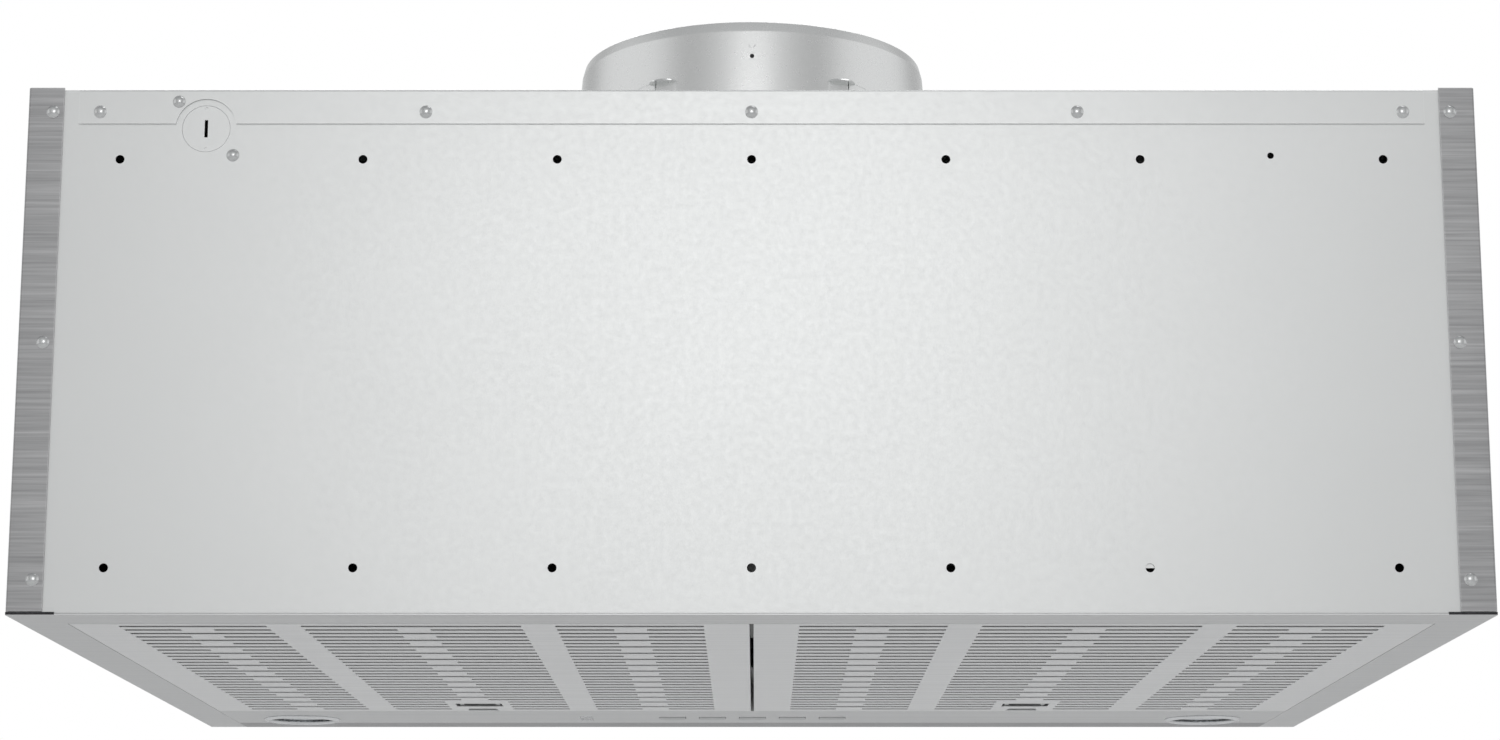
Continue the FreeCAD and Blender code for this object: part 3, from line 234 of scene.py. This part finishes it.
def add_piece(shell, name, body, finish, even=True):
    """Turns a finished bmesh into a visible piece on a body; even keeps broad faces flat in the shading."""
    for face in shell.faces:
        face.smooth = True
    mesh = bpy.data.meshes.new(name)
    shell.to_mesh(mesh)
    shell.free()
    mesh.set_sharp_from_angle(angle=SHARP_ANGLE)
    mesh.materials.append(finish)
    piece = bpy.data.objects.new(name, mesh)
    bpy.context.scene.collection.objects.link(piece)
    if even:
        flats = piece.modifiers.new("flat_faces", "WEIGHTED_NORMAL")
        flats.keep_sharp = True
    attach(piece, body)
    return piece


def paint(node, finish):
    """Gives a carried-over node its finish and leaves its shape alone."""
    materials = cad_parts[node].data.materials
    materials.clear()
    materials.append(finish)


def finished_copy(node, body, finish, edge=SHEET_EDGE, bend=None):
    """The node's own shape as one shell with its corners rounded off, as bending and deburring leave them.
    bend picks the edges that are outer bends of the sheet and get the larger radius."""
    shell = bmesh.new()
    shell.from_mesh(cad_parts[node].data)
    bmesh.ops.remove_doubles(shell, verts=shell.verts, dist=0.000002)
    if edge:
        bmesh.ops.dissolve_limit(shell, angle_limit=radians(0.5), verts=shell.verts, edges=shell.edges)
    if bend:
        bends = [e for e in corner_edges(shell) if all(bend(v.co) for v in e.verts)]
        round_off(shell, bends, BEND_RADIUS, 4)
    if edge:
        round_off(shell, corner_edges(shell), edge, 2)
    piece = add_piece(shell, node + "_finished", body, finish)
    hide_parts(node)
    return piece


zinc_sheet = galvanised("zinc_sheet", (0.755, 0.765, 0.76), (0.79, 0.80, 0.795), 0.40)
rear_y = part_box("top_panel")[1].y
top_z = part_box("top_panel")[1].z
for sheet in ("rear_panel", "knockout_disk", "junction_box_cover", "blower_mount_plate"):
    finished_copy(sheet, "casing", zinc_sheet)
finished_copy(
    "top_panel", "casing", zinc_sheet,
    bend=lambda p: p.y > rear_y - TOUCH and p.z > top_z - TOUCH,
)
for sheet in ("rear_brace", "filter_rest", "motor_bracket", "junction_box"):
    paint(sheet, zinc_sheet)

# ---- stainless skin --------------------------------------------------------------------------------------
# Side panels, front panel and the frame and strip of the underside: stainless sheet with a long brushed
# grain that runs level round the hood, bent with a small radius and screwed to the back.


def make_brushed():
    """Long fine scratches along one axis: a noise squeezed across it, and a broader band of streaks."""
    group, nodes, links, inlet, outlet = new_effect(
        "brushed",
        [("Vector", "NodeSocketVector", None), ("Along", "NodeSocketVector", (6.0, 900.0, 900.0))],
        [("Streak", "NodeSocketFloat"), ("Band", "NodeSocketFloat")],
    )
    stretch = nodes.new("ShaderNodeVectorMath")
    stretch.operation = "MULTIPLY"
    fine = nodes.new("ShaderNodeTexNoise")
    fine.inputs["Scale"].default_value = 1.0
    fine.inputs["Detail"].default_value = 3
    fine.inputs["Roughness"].default_value = 0.7
    broad = nodes.new("ShaderNodeTexNoise")
    broad.inputs["Scale"].default_value = 0.28
    broad.inputs["Detail"].default_value = 2
    links.new(inlet.outputs["Vector"], stretch.inputs[0])
    links.new(inlet.outputs["Along"], stretch.inputs[1])
    links.new(stretch.outputs["Vector"], fine.inputs["Vector"])
    links.new(stretch.outputs["Vector"], broad.inputs["Vector"])
    links.new(fine.outputs["Fac"], outlet.inputs["Streak"])
    links.new(broad.outputs["Fac"], outlet.inputs["Band"])
    return group


brushed = make_brushed()


def brushed_steel(name, scale, dark, light, roughness, relief=0.00003):
    """Stainless steel whose grain is long along the axes with a small scale."""
    material, nodes, links, shader = finish_material(name, light, 1.0, roughness)
    grain = place_effect(nodes, links, brushed, {"Along": scale})
    wear_and_highlight = place_effect(nodes, links, edge_wear_and_highlight, {"Radius": 0.0009})
    streak = remap(nodes, links, grain.outputs["Streak"], 0.0, 1.0)
    steel = blend_colours(nodes, links, streak, dark, light)
    band = remap(nodes, links, grain.outputs["Band"], 0.0, 0.45)
    toned = blend_colours(nodes, links, band, steel, tuple(c * 0.86 for c in dark))
    # The edges lighten as rubbed wear and as a painted edge highlight.
    colour = blend_colours(nodes, links, wear_and_highlight.outputs["Wear_and_highlight"], toned, (0.90, 0.90, 0.91))
    links.new(colour, shader.inputs["Base Color"])
    rough = remap(nodes, links, grain.outputs["Streak"], roughness - 0.06, roughness + 0.08)
    links.new(rough, shader.inputs["Roughness"])
    bumped(nodes, links, shader, grain.outputs["Streak"], relief)
    return material


LEVEL_GRAIN = (9.0, 9.0, 520.0)
CROSS_GRAIN = (9.0, 700.0, 700.0)
skin_steel = brushed_steel("skin_steel", LEVEL_GRAIN, (0.34, 0.34, 0.345), (0.56, 0.56, 0.565), 0.34)
under_steel = brushed_steel(
    "under_steel", CROSS_GRAIN, (0.74, 0.745, 0.745), (0.80, 0.805, 0.805), 0.42, 0.00001
)
outer_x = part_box("right_side_panel")[1].x
for panel in ("left_side_panel", "right_side_panel"):
    finished_copy(
        panel, "casing", skin_steel,
        bend=lambda p: abs(p.x) > outer_x - TOUCH and p.y > rear_y - TOUCH,
    )
finished_copy("front_panel", "casing", skin_steel, 0.0004)
finished_copy("bottom_frame", "casing", under_steel)
finished_copy("control_panel", "casing", under_steel)

# ---- fasteners -------------------------------------------------------------------------------------------
# Zinc-plated dome-head screws and rivets. Every head is a pressed dome with a small flat skirt.
plated = galvanised("plated_screw", (0.68, 0.69, 0.69), (0.80, 0.81, 0.81), 0.22)


HEAD_RADIUS = 0.0039
HEAD_HEIGHT = 0.0022
DOME_ANGLE = radians(62)
DOME_STEPS = 7
SCREW_INSET = 0.015
SCREW_DROP = 0.014
SIDE_SCREW_STEP = 0.1425
TOP_SCREW_STEP = 0.1965


def dome_head(shell, seat):
    """Spins one dome head with its skirt about its own axis and seats it on the back, facing the rear."""
    start = len(shell.verts)
    outline = [(0.0, HEAD_HEIGHT)]
    for step in range(1, DOME_STEPS + 1):
        angle = step / DOME_STEPS * DOME_ANGLE
        across = HEAD_RADIUS * 0.94 * sin(angle) / sin(DOME_ANGLE)
        rise = (cos(angle) - cos(DOME_ANGLE)) / (1 - cos(DOME_ANGLE))
        outline.append((across, HEAD_HEIGHT * (0.30 + 0.70 * rise)))
    outline += [(HEAD_RADIUS, HEAD_HEIGHT * 0.22), (HEAD_RADIUS, 0.0), (0.0, 0.0)]
    points = [shell.verts.new((x, 0, z)) for x, z in outline]
    edges = [shell.edges.new(pair) for pair in zip(points, points[1:])]
    bmesh.ops.spin(
        shell, geom=points + edges, cent=(0, 0, 0), axis=(0, 0, 1), angle=2 * pi, steps=28, use_merge=True
    )
    shell.verts.ensure_lookup_table()
    turn = Vector((0, 0, 1)).rotation_difference(Vector((0, 1, 0))).to_matrix().to_4x4()
    bmesh.ops.transform(shell, matrix=Matrix.Translation(seat) @ turn, verts=shell.verts[start:])


strip_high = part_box("right_side_panel")[1]
strip_x = strip_high.x - SCREW_INSET
screw_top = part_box("top_panel")[1].z - SCREW_DROP
rear_seats = [(column * TOP_SCREW_STEP, screw_top) for column in range(-2, 3)]
for side in (-1, 1):
    rear_seats += [(side * strip_x, screw_top - row * SIDE_SCREW_STEP) for row in range(3)]
heads = bmesh.new()
for x, z in rear_seats:
    dome_head(heads, Vector((x, strip_high.y, z)))
bmesh.ops.remove_doubles(heads, verts=heads.verts, dist=0.000005)
bmesh.ops.recalc_face_normals(heads, faces=heads.faces)
rear_heads = add_piece(heads, "rear_screw_heads", "casing", plated, even=False)
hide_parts("rear_screws")
for node in ("box_rivets", "collar_screws", "blower_screws", "damper_pin", "motor_shaft"):
    paint(node, plated)

# ---- duct collar -----------------------------------------------------------------------------------------
# Smooth galvanised ring that the round duct slides over, with a screw flange, a lead-in at its rim and two
# pressed bosses near its foot. A pin through it carries the damper; a dark disc in its hole at the rear is
# painted shade.
collar_zinc = galvanised("collar_zinc", (0.90, 0.91, 0.905), (0.93, 0.935, 0.93), 0.26)
collar_low, collar_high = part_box("duct_collar")
pin_low, pin_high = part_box("damper_pin")
collar_axis = Vector((0, (collar_low.y + collar_high.y) / 2, 0))
collar_foot = collar_low.z
pin_z = (pin_low.z + pin_high.z) / 2
WALL_FOOT = 0.134
WALL_TAPER = 0.009 / 0.135
WALL_SHEET = 0.003
FLANGE_RADIUS = 0.156
FLANGE_TOP = 0.0025
LEAD_IN = 0.1277
RIM = 0.135
RIM_RADIUS = 0.1235
SEAT_RADIUS = 0.112
SEAT_TOP = 0.1061
SEAT_FOOT = 0.1041
RING_STEPS = 120
PIN_HOLE_RADIUS = 0.00155
PIN_HOLE_DEPTH = 0.0018
MARK_RISE = 0.0087
MARK_RADIUS = 0.0022
PAD_EDGE = 0.0678
PAD_END = 0.112
PAD_STEP = 0.0016
FLAT_START = 0.0535
LEDGE_HEIGHT = 0.0945
RAMP = ((0.0678, 0.0955), (0.079, 0.0935), (0.090, 0.089), (0.1005, 0.083), (0.112, 0.070))


def wall_radius(height):
    return WALL_FOOT - WALL_TAPER * height


def on_collar(angle, radius, height):
    return collar_axis + Vector((radius * cos(angle), radius * sin(angle), collar_foot + height))


def on_rear(x, radius, height):
    """Point on the rear half of a ring round the collar's axis."""
    return collar_axis + Vector((x, (radius * radius - x * x) ** 0.5, collar_foot + height))


def nearest_face(shell, place):
    return min(shell.faces, key=lambda face: (face.calc_center_median() - place).length)


def collar_ring():
    """Flange, tapered wall, lead-in and the seal's seat as one turned ring."""
    pin = pin_z - collar_foot
    outline = [(0.0, WALL_FOOT - WALL_SHEET), (0.0, FLANGE_RADIUS), (FLANGE_TOP, FLANGE_RADIUS)]
    outline += [(h, wall_radius(h)) for h in (FLANGE_TOP, 0.035, 0.07, pin - 0.0033, pin + 0.0033, LEAD_IN)]
    outline += [(RIM, RIM_RADIUS), (RIM, wall_radius(RIM) - WALL_SHEET)]
    outline += [(SEAT_TOP, wall_radius(SEAT_TOP) - WALL_SHEET), (SEAT_TOP, SEAT_RADIUS)]
    outline += [(SEAT_FOOT, SEAT_RADIUS), (SEAT_FOOT, wall_radius(SEAT_FOOT) - WALL_SHEET)]
    ring = bmesh.new()
    start = pi / 2 - pi / RING_STEPS
    corners = [ring.verts.new(on_collar(start, radius, height)) for height, radius in outline]
    sides = [ring.edges.new(pair) for pair in zip(corners, corners[1:] + corners[:1])]
    bmesh.ops.spin(
        ring, geom=corners + sides, cent=collar_axis, axis=(0, 0, 1), angle=2 * pi, steps=RING_STEPS,
        use_merge=True,
    )
    bmesh.ops.recalc_face_normals(ring, faces=ring.faces)
    turns = [e for e in ring.edges if e.calc_face_angle(0) > radians(9)]
    round_off(ring, turns, 0.0005, 2)
    return ring


def pierce_for_pin(ring):
    """Round blind hole at the rear, inset into the one wall face that lies over the pin's end."""
    pin = pin_z - collar_foot
    seat = on_collar(pi / 2, wall_radius(pin), pin)
    patch = nearest_face(ring, seat)
    bmesh.ops.inset_individual(ring, faces=[patch], thickness=0.0012, use_even_offset=True)
    bmesh.ops.subdivide_edges(ring, edges=patch.edges[:], cuts=3)
    patch = nearest_face(ring, seat)
    middle = patch.calc_center_median()
    for vert in patch.verts:
        away = vert.co - middle
        away.y = 0
        vert.co = middle + away.normalized() * PIN_HOLE_RADIUS
    hole = bmesh.ops.extrude_face_region(ring, geom=[patch])
    floor = [v for v in hole["geom"] if isinstance(v, bmesh.types.BMVert)]
    bmesh.ops.translate(ring, verts=floor, vec=(0, -PIN_HOLE_DEPTH, 0))
    bmesh.ops.delete(ring, geom=[patch], context="FACES")


def ramp_height(x):
    for (x0, h0), (x1, h1) in zip(RAMP, RAMP[1:]):
        if x <= x1:
            return h0 + (h1 - h0) * (x - x0) / (x1 - x0)
    return RAMP[-1][1]


def flat_height(x):
    return 0.095


def pad_stand(x):
    return PAD_STEP


def flat_stand(x):
    return (x - 0.053) * 0.21


def raised_pad(shell, side, first_x, last_x, height_at, stand_at, soft):
    """Patch of the wall between two upright edges, standing proud of it and closed down into the wall."""
    sheet = bmesh.new()
    bmesh.ops.create_grid(sheet, x_segments=24, y_segments=12, size=1)
    for vert in sheet.verts:
        x = first_x + (last_x - first_x) * (vert.co.x + 1) / 2
        height = 0.001 + (height_at(x) - 0.001) * (vert.co.y + 1) / 2
        vert.co = on_rear(side * x, wall_radius(height) + stand_at(x), height)
    skirt = bmesh.ops.extrude_face_region(sheet, geom=sheet.faces[:])
    for vert in skirt["geom"]:
        if isinstance(vert, bmesh.types.BMVert):
            height = vert.co.z - collar_foot
            vert.co = on_rear(vert.co.x, wall_radius(height) - WALL_SHEET / 2, height)
    bmesh.ops.recalc_face_normals(sheet, faces=sheet.faces)
    round_off(sheet, [e for e in sheet.edges if e.calc_face_angle(0) > radians(45)], soft, 3)
    patch = bpy.data.meshes.new("patch")
    sheet.to_mesh(patch)
    sheet.free()
    shell.from_mesh(patch)
    bpy.data.meshes.remove(patch)


def ledge(shell, side):
    """Thin lip with a flat underside; its back is kept inside the wall."""
    lip = bmesh.ops.create_cone(
        shell, cap_ends=True, segments=48, radius1=0.0112, radius2=0.0106, depth=0.001,
        matrix=Matrix.Translation(collar_axis + Vector((side * 0.0613, 0.1085, collar_foot + LEDGE_HEIGHT))),
    )
    for vert in lip["verts"]:
        away = Vector((vert.co.x, vert.co.y - collar_axis.y, 0))
        inside = wall_radius(vert.co.z - collar_foot) - WALL_SHEET / 2
        if away.length < inside:
            away = away.normalized() * inside
            vert.co = Vector((away.x, collar_axis.y + away.y, vert.co.z))


def pin_mark(shell):
    """Small raised half ring above the pin's hole: a round bead swept half a turn."""
    middle = collar_axis + Vector((0, wall_radius(0.118) - 0.0001, pin_z + MARK_RISE))
    bead = bmesh.ops.create_circle(
        shell, cap_ends=True, radius=0.0005, segments=8,
        matrix=Matrix.Translation(middle + Vector((-MARK_RADIUS, 0, 0))),
    )
    faces = [f for f in shell.faces if all(v in bead["verts"] for v in f.verts)]
    edges = list({e for f in faces for e in f.edges})
    bmesh.ops.spin(
        shell, geom=bead["verts"] + edges + faces, cent=middle, axis=(0, 1, 0), angle=-pi, steps=14
    )


collar_shell = collar_ring()
pierce_for_pin(collar_shell)
for side in (-1, 1):
    raised_pad(collar_shell, side, PAD_EDGE, PAD_END, ramp_height, pad_stand, 0.0009)
    raised_pad(collar_shell, side, FLAT_START, PAD_EDGE - 0.0006, flat_height, flat_stand, 0.0004)
    ledge(collar_shell, side)
pin_mark(collar_shell)
bmesh.ops.recalc_face_normals(collar_shell, faces=collar_shell.faces)
collar = add_piece(collar_shell, "duct_collar_finished", "casing", collar_zinc)
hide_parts("duct_collar")

# ---- damper ----------------------------------------------------------------------------------------------
# Two half-round steel flaps on one pin inside the collar. They lift with the air and fall shut on a black
# closed-cell foam ring. Dark pieces of the same foam are painted shade: the shadow in the pin's hole and the
# shade in the open gap under each side flange.
DEEP_GRAIN = (700.0, 9.0, 700.0)
flap_metal = brushed_steel("flap_metal", DEEP_GRAIN, (0.60, 0.61, 0.62), (0.72, 0.73, 0.74), 0.40)
finished_copy("left_damper_flap", "left_flap", flap_metal, 0.0002)
finished_copy("right_damper_flap", "right_flap", flap_metal, 0.0002)


# Black closed-cell foam for the seal; the same dark material is painted shade in the pin's hole and under the
# side flanges.
def foam_and_shade():
    material, nodes, links, shader = finish_material("foam_and_shade", (0.03, 0.03, 0.033), 0.0, 0.9)
    cells = nodes.new("ShaderNodeTexVoronoi")
    cells.inputs["Scale"].default_value = 900
    place = nodes.new("ShaderNodeTexCoord")
    links.new(place.outputs["Object"], cells.inputs["Vector"])
    pores = cells.outputs["Distance"]
    colour = blend_colours(nodes, links, pores, (0.015, 0.015, 0.017), (0.06, 0.06, 0.065))
    links.new(colour, shader.inputs["Base Color"])
    bumped(nodes, links, shader, pores, 0.0002)
    return material


foam_and_shade_finish = foam_and_shade()
paint("damper_seal", foam_and_shade_finish)
# Two dark strips of painted shade, one in the open gap under each side flange at the lower corners.
GAP_SHADE_WIDTH = 0.0285
GAP_SHADE_HEIGHT = 0.0016
GAP_SHADE_DEPTH = 0.0004
gap_shade_x = cad_high.x - 0.0001 - GAP_SHADE_WIDTH / 2
gap_shade_y = strip_high.y - GAP_SHADE_DEPTH / 2
for side, name in ((-1, "left_gap_shade"), (1, "right_gap_shade")):
    strip = bmesh.new()
    bmesh.ops.create_grid(strip, x_segments=12, y_segments=1, size=0.5)
    lifted = bmesh.ops.extrude_face_region(strip, geom=strip.faces[:])
    raised = [v for v in lifted["geom"] if isinstance(v, bmesh.types.BMVert)]
    bmesh.ops.translate(strip, verts=raised, vec=(0, 0, GAP_SHADE_DEPTH))
    bmesh.ops.scale(strip, verts=strip.verts, vec=(GAP_SHADE_WIDTH, GAP_SHADE_HEIGHT, 1))
    bmesh.ops.rotate(strip, verts=strip.verts, matrix=Matrix.Rotation(-pi / 2, 3, "X"))
    bmesh.ops.translate(strip, verts=strip.verts, vec=(side * gap_shade_x, gap_shade_y, 0.0012))
    bmesh.ops.recalc_face_normals(strip, faces=strip.faces)
    add_piece(strip, name, "casing", foam_and_shade_finish, even=False)

# A dark disc inside the pin's hole at the rear: painted shade in the hole.
hole_shade = bmesh.new()
hole_shade_seat = collar_axis + Vector((0, wall_radius(pin_z - collar_foot) - 0.0011, pin_z))
bmesh.ops.create_cone(
    hole_shade, cap_ends=True, segments=32, radius1=0.0015, radius2=0.0015, depth=0.0010,
    matrix=Matrix.Translation(hole_shade_seat) @ Matrix.Rotation(pi / 2, 4, "X"),
)
add_piece(hole_shade, "pin_hole_shade", "casing", foam_and_shade_finish, even=False)

# ---- filters ---------------------------------------------------------------------------------------------
# Slotted stainless pans with an aluminium baffle sheet behind the slots, each with a spring latch.
pan_steel = brushed_steel(
    "pan_steel", CROSS_GRAIN, (0.91, 0.915, 0.915), (0.95, 0.955, 0.955), 0.44, 0.00001
)
# The baffle and cover behind the slots are coloured far darker than bare aluminium: painted shade for the
# recess.
baffle_painted_shade = brushed_steel("baffle_painted_shade", CROSS_GRAIN, (0.13, 0.135, 0.135), (0.19, 0.195, 0.195), 0.5)
latch_steel = brushed_steel("latch_metal", DEEP_GRAIN, (0.5, 0.51, 0.51), (0.68, 0.69, 0.69), 0.36)
for side in ("left", "right"):
    finished_copy(side + "_filter_face", side + "_filter", pan_steel, 0.00015)
    finished_copy(side + "_latch", side + "_latch", latch_steel, 0.00015)
    paint(side + "_filter_baffle", baffle_painted_shade)
    paint(side + "_filter_cover", baffle_painted_shade)
    spring = finished_copy(side + "_latch_spring", side + "_filter", plated, 0.0)
    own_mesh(spring)

# ---- lamps -----------------------------------------------------------------------------------------------
# Two round recessed lamps: a polished ring, a clear lens, a faceted dish and a light module in a finned can.


def polished():
    material, nodes, links, shader = finish_material("polished_ring", (0.86, 0.87, 0.88), 1.0, 0.12)
    cloud = place_effect(nodes, links, mottle, {"Size": 60.0})
    rough = remap(nodes, links, cloud.outputs["Mask"], 0.08, 0.18)
    links.new(rough, shader.inputs["Roughness"])
    return material


def lamp_glass():
    material, nodes, links, shader = finish_material("lamp_glass", (0.95, 0.97, 0.98), 0.0, 0.04)
    shader.inputs["Transmission Weight"].default_value = 1.0
    shader.inputs["IOR"].default_value = 1.45
    cloud = place_effect(nodes, links, mottle, {"Size": 90.0})
    rough = remap(nodes, links, cloud.outputs["Mask"], 0.02, 0.09)
    links.new(rough, shader.inputs["Roughness"])
    return material


def light_module():
    material, nodes, links, shader = finish_material("light_module", (0.93, 0.88, 0.70), 0.0, 0.5)
    cloud = place_effect(nodes, links, mottle, {"Size": 150.0})
    colour = blend_colours(nodes, links, cloud.outputs["Mask"], (0.90, 0.82, 0.55), (0.97, 0.94, 0.85))
    links.new(colour, shader.inputs["Base Color"])
    return material


def cast_alloy(name, dark, light):
    material, nodes, links, shader = finish_material(name, light, 0.7, 0.55)
    cloud = place_effect(nodes, links, mottle, {"Size": 40.0})
    wear_and_highlight = place_effect(nodes, links, edge_wear_and_highlight, {"Radius": 0.0008})
    cast = blend_colours(nodes, links, cloud.outputs["Mask"], dark, light)
    # The edges lighten as rubbed wear and as a painted edge highlight.
    colour = blend_colours(nodes, links, wear_and_highlight.outputs["Wear_and_highlight"], cast, (0.6, 0.6, 0.61))
    links.new(colour, shader.inputs["Base Color"])
    bumped(nodes, links, shader, cloud.outputs["Fine"], 0.0001)
    return material


ring_finish = polished()
lens_finish = lamp_glass()
can_finish = cast_alloy("lamp_can_alloy", (0.24, 0.25, 0.25), (0.38, 0.39, 0.40))
for side in ("left", "right"):
    finished_copy(side + "_lamp_bezel", "casing", ring_finish, 0.0)
    finished_copy(side + "_lamp_lens", "casing", lens_finish, 0.0)
    finished_copy(side + "_lamp_reflector", "casing", ring_finish, 0.0)
    paint(side + "_lamp_can", can_finish)
paint("led_modules", light_module())

# ---- controls --------------------------------------------------------------------------------------------
# Five push keys painted to match the steel, the dark window beside them, and the carrier and board above.


def moulded(name, dark, light, roughness):
    material, nodes, links, shader = finish_material(name, light, 0.0, roughness)
    cloud = place_effect(nodes, links, mottle, {"Size": 55.0})
    wear_and_highlight = place_effect(nodes, links, edge_wear_and_highlight, {"Radius": 0.0005})
    plastic = blend_colours(nodes, links, cloud.outputs["Mask"], dark, light)
    # A lighter edge colour: rubbed wear and a painted edge highlight.
    worn_and_lit_edge_colour = tuple(min(1.0, c * 1.5 + 0.02) for c in light)
    colour = blend_colours(nodes, links, wear_and_highlight.outputs["Wear_and_highlight"], plastic, worn_and_lit_edge_colour)
    links.new(colour, shader.inputs["Base Color"])
    rough = remap(nodes, links, cloud.outputs["Fine"], roughness - 0.05, roughness + 0.07)
    links.new(rough, shader.inputs["Roughness"])
    bumped(nodes, links, shader, cloud.outputs["Fine"], 0.00004)
    return material


key_finish = moulded("key_paint", (0.54, 0.55, 0.55), (0.62, 0.63, 0.63), 0.38)
for key in ("light_button", "fan_off_button", "fan_low_button", "fan_medium_button", "fan_high_button"):
    finished_copy(key, key + "_key", key_finish, 0.0002)
plain_finishes = {
    "button_carrier": moulded("carrier_black", (0.03, 0.03, 0.032), (0.06, 0.06, 0.062), 0.5),
    "control_board": moulded("board_green", (0.02, 0.12, 0.06), (0.03, 0.20, 0.10), 0.3),
    "window_lens": moulded("window_tint", (0.38, 0.39, 0.40), (0.46, 0.47, 0.48), 0.12),
    "led_driver": moulded("driver_case", (0.05, 0.05, 0.052), (0.09, 0.09, 0.092), 0.45),
    "terminal_block": moulded("terminal_white", (0.70, 0.70, 0.68), (0.82, 0.82, 0.80), 0.4),
    "supply_cable": moulded("cable_sheath", (0.05, 0.05, 0.05), (0.09, 0.09, 0.09), 0.45),
    "run_capacitor": moulded("capacitor_case", (0.72, 0.72, 0.70), (0.84, 0.84, 0.82), 0.4),
    "blower_motor": cast_alloy("motor_enamel", (0.06, 0.06, 0.065), (0.11, 0.11, 0.115)),
    "impeller": moulded("wheel_black", (0.04, 0.04, 0.042), (0.08, 0.08, 0.082), 0.5),
    "blower_scroll": zinc_sheet,
    "left_inlet_plate": zinc_sheet,
    "right_inlet_plate": zinc_sheet,
}
for node, finish in plain_finishes.items():
    paint(node, finish)

# ---- studio ----------------------------------------------------------------------------------------------
# A plain pale floor well below the hood, soft lamps and a white surround.
FLOOR_Z = -0.75


def make_floor():
    slab = bmesh.new()
    bmesh.ops.create_grid(
        slab, x_segments=1, y_segments=1, size=14, matrix=Matrix.Translation((0, 0, FLOOR_Z))
    )
    mesh = bpy.data.meshes.new("studio_floor")
    slab.to_mesh(mesh)
    slab.free()
    material, nodes, links, shader = finish_material("studio_floor", (0.86, 0.86, 0.86), 0.0, 0.8)
    cloud = place_effect(nodes, links, mottle, {"Size": 2.0})
    colour = blend_colours(nodes, links, cloud.outputs["Mask"], (0.85, 0.85, 0.85), (0.87, 0.87, 0.87))
    links.new(colour, shader.inputs["Base Color"])
    mesh.materials.append(material)
    floor = bpy.data.objects.new("studio_floor", mesh)
    bpy.context.scene.collection.objects.link(floor)


def soft_lamp(name, place, target, size, power):
    light = bpy.data.lights.new(name, "AREA")
    light.shape = "RECTANGLE"
    light.size, light.size_y = size
    light.energy = power
    lamp = bpy.data.objects.new(name, light)
    lamp.location = place
    aim = Vector(target) - Vector(place)
    lamp.visible_camera = False
    lamp.rotation_euler = aim.to_track_quat("-Z", "Y").to_euler()
    bpy.context.scene.collection.objects.link(lamp)


def make_surround():
    world = bpy.data.worlds.new("surround")
    world.use_nodes = True
    nodes = world.node_tree.nodes
    links = world.node_tree.links
    seen = nodes["Background"]
    seen.inputs["Color"].default_value = (1, 1, 1, 1)
    seen.inputs["Strength"].default_value = 1.0
    fill = nodes.new("ShaderNodeBackground")
    direction = nodes.new("ShaderNodeTexCoord")
    split = nodes.new("ShaderNodeSeparateXYZ")
    sideways = nodes.new("ShaderNodeMath")
    sideways.operation = "ABSOLUTE"
    walls = nodes.new("ShaderNodeValToRGB")
    walls.color_ramp.interpolation = "EASE"
    tones = [(0.10, 0.68), (0.64, 0.40), (0.90, 0.74)]
    while len(walls.color_ramp.elements) < len(tones):
        walls.color_ramp.elements.new(0.5)
    for stop, (place, tone) in zip(walls.color_ramp.elements, tones):
        stop.position = place
        stop.color = (tone, tone * 1.005, tone * 1.01, 1)
    height = nodes.new("ShaderNodeMapRange")
    height.interpolation_type = "SMOOTHSTEP"
    height.inputs["From Min"].default_value = 0.52
    height.inputs["From Max"].default_value = 0.86
    room = nodes.new("ShaderNodeMix")
    room.data_type = "RGBA"
    room.inputs["B"].default_value = (0.36, 0.365, 0.37, 1)
    links.new(direction.outputs["Generated"], split.inputs["Vector"])
    links.new(split.outputs["X"], sideways.inputs[0])
    links.new(sideways.outputs[0], walls.inputs["Fac"])
    links.new(split.outputs["Z"], height.inputs["Value"])
    links.new(height.outputs["Result"], room.inputs["Factor"])
    links.new(walls.outputs["Color"], room.inputs["A"])
    links.new(room.outputs["Result"], fill.inputs["Color"])
    ray = nodes.new("ShaderNodeLightPath")
    choose = nodes.new("ShaderNodeMixShader")
    links.new(ray.outputs["Is Camera Ray"], choose.inputs["Fac"])
    links.new(fill.outputs["Background"], choose.inputs[1])
    links.new(seen.outputs["Background"], choose.inputs[2])
    links.new(choose.outputs["Shader"], nodes["World Output"].inputs["Surface"])
    bpy.context.scene.world = world


make_floor()
make_surround()
soft_lamp("rear_softbox", (0.0, 3.4, 0.95), (0, 0.34, 0.16), (1.3, 1.3), 8.0)
soft_lamp("upper_softbox", (-1.0, -0.6, 3.6), (0, 0, 0.2), (2.0, 2.0), 24)
soft_lamp("front_softbox", (1.2, -2.2, 3.2), (0, -0.2, 0.2), (1.6, 1.2), 16)
bpy.context.scene.view_settings.view_transform = "Standard"

camera = bpy.data.cameras.new("camera")
camera.lens = 72.6
camera.shift_x = -0.0036
camera.shift_y = 0.05
viewer = bpy.data.objects.new("camera", camera)
viewer.location = (-0.00232, 2.098, -0.233)
viewer.rotation_euler = (radians(90 + 10.78), 0, pi)
bpy.context.scene.collection.objects.link(viewer)
bpy.context.scene.camera = viewer
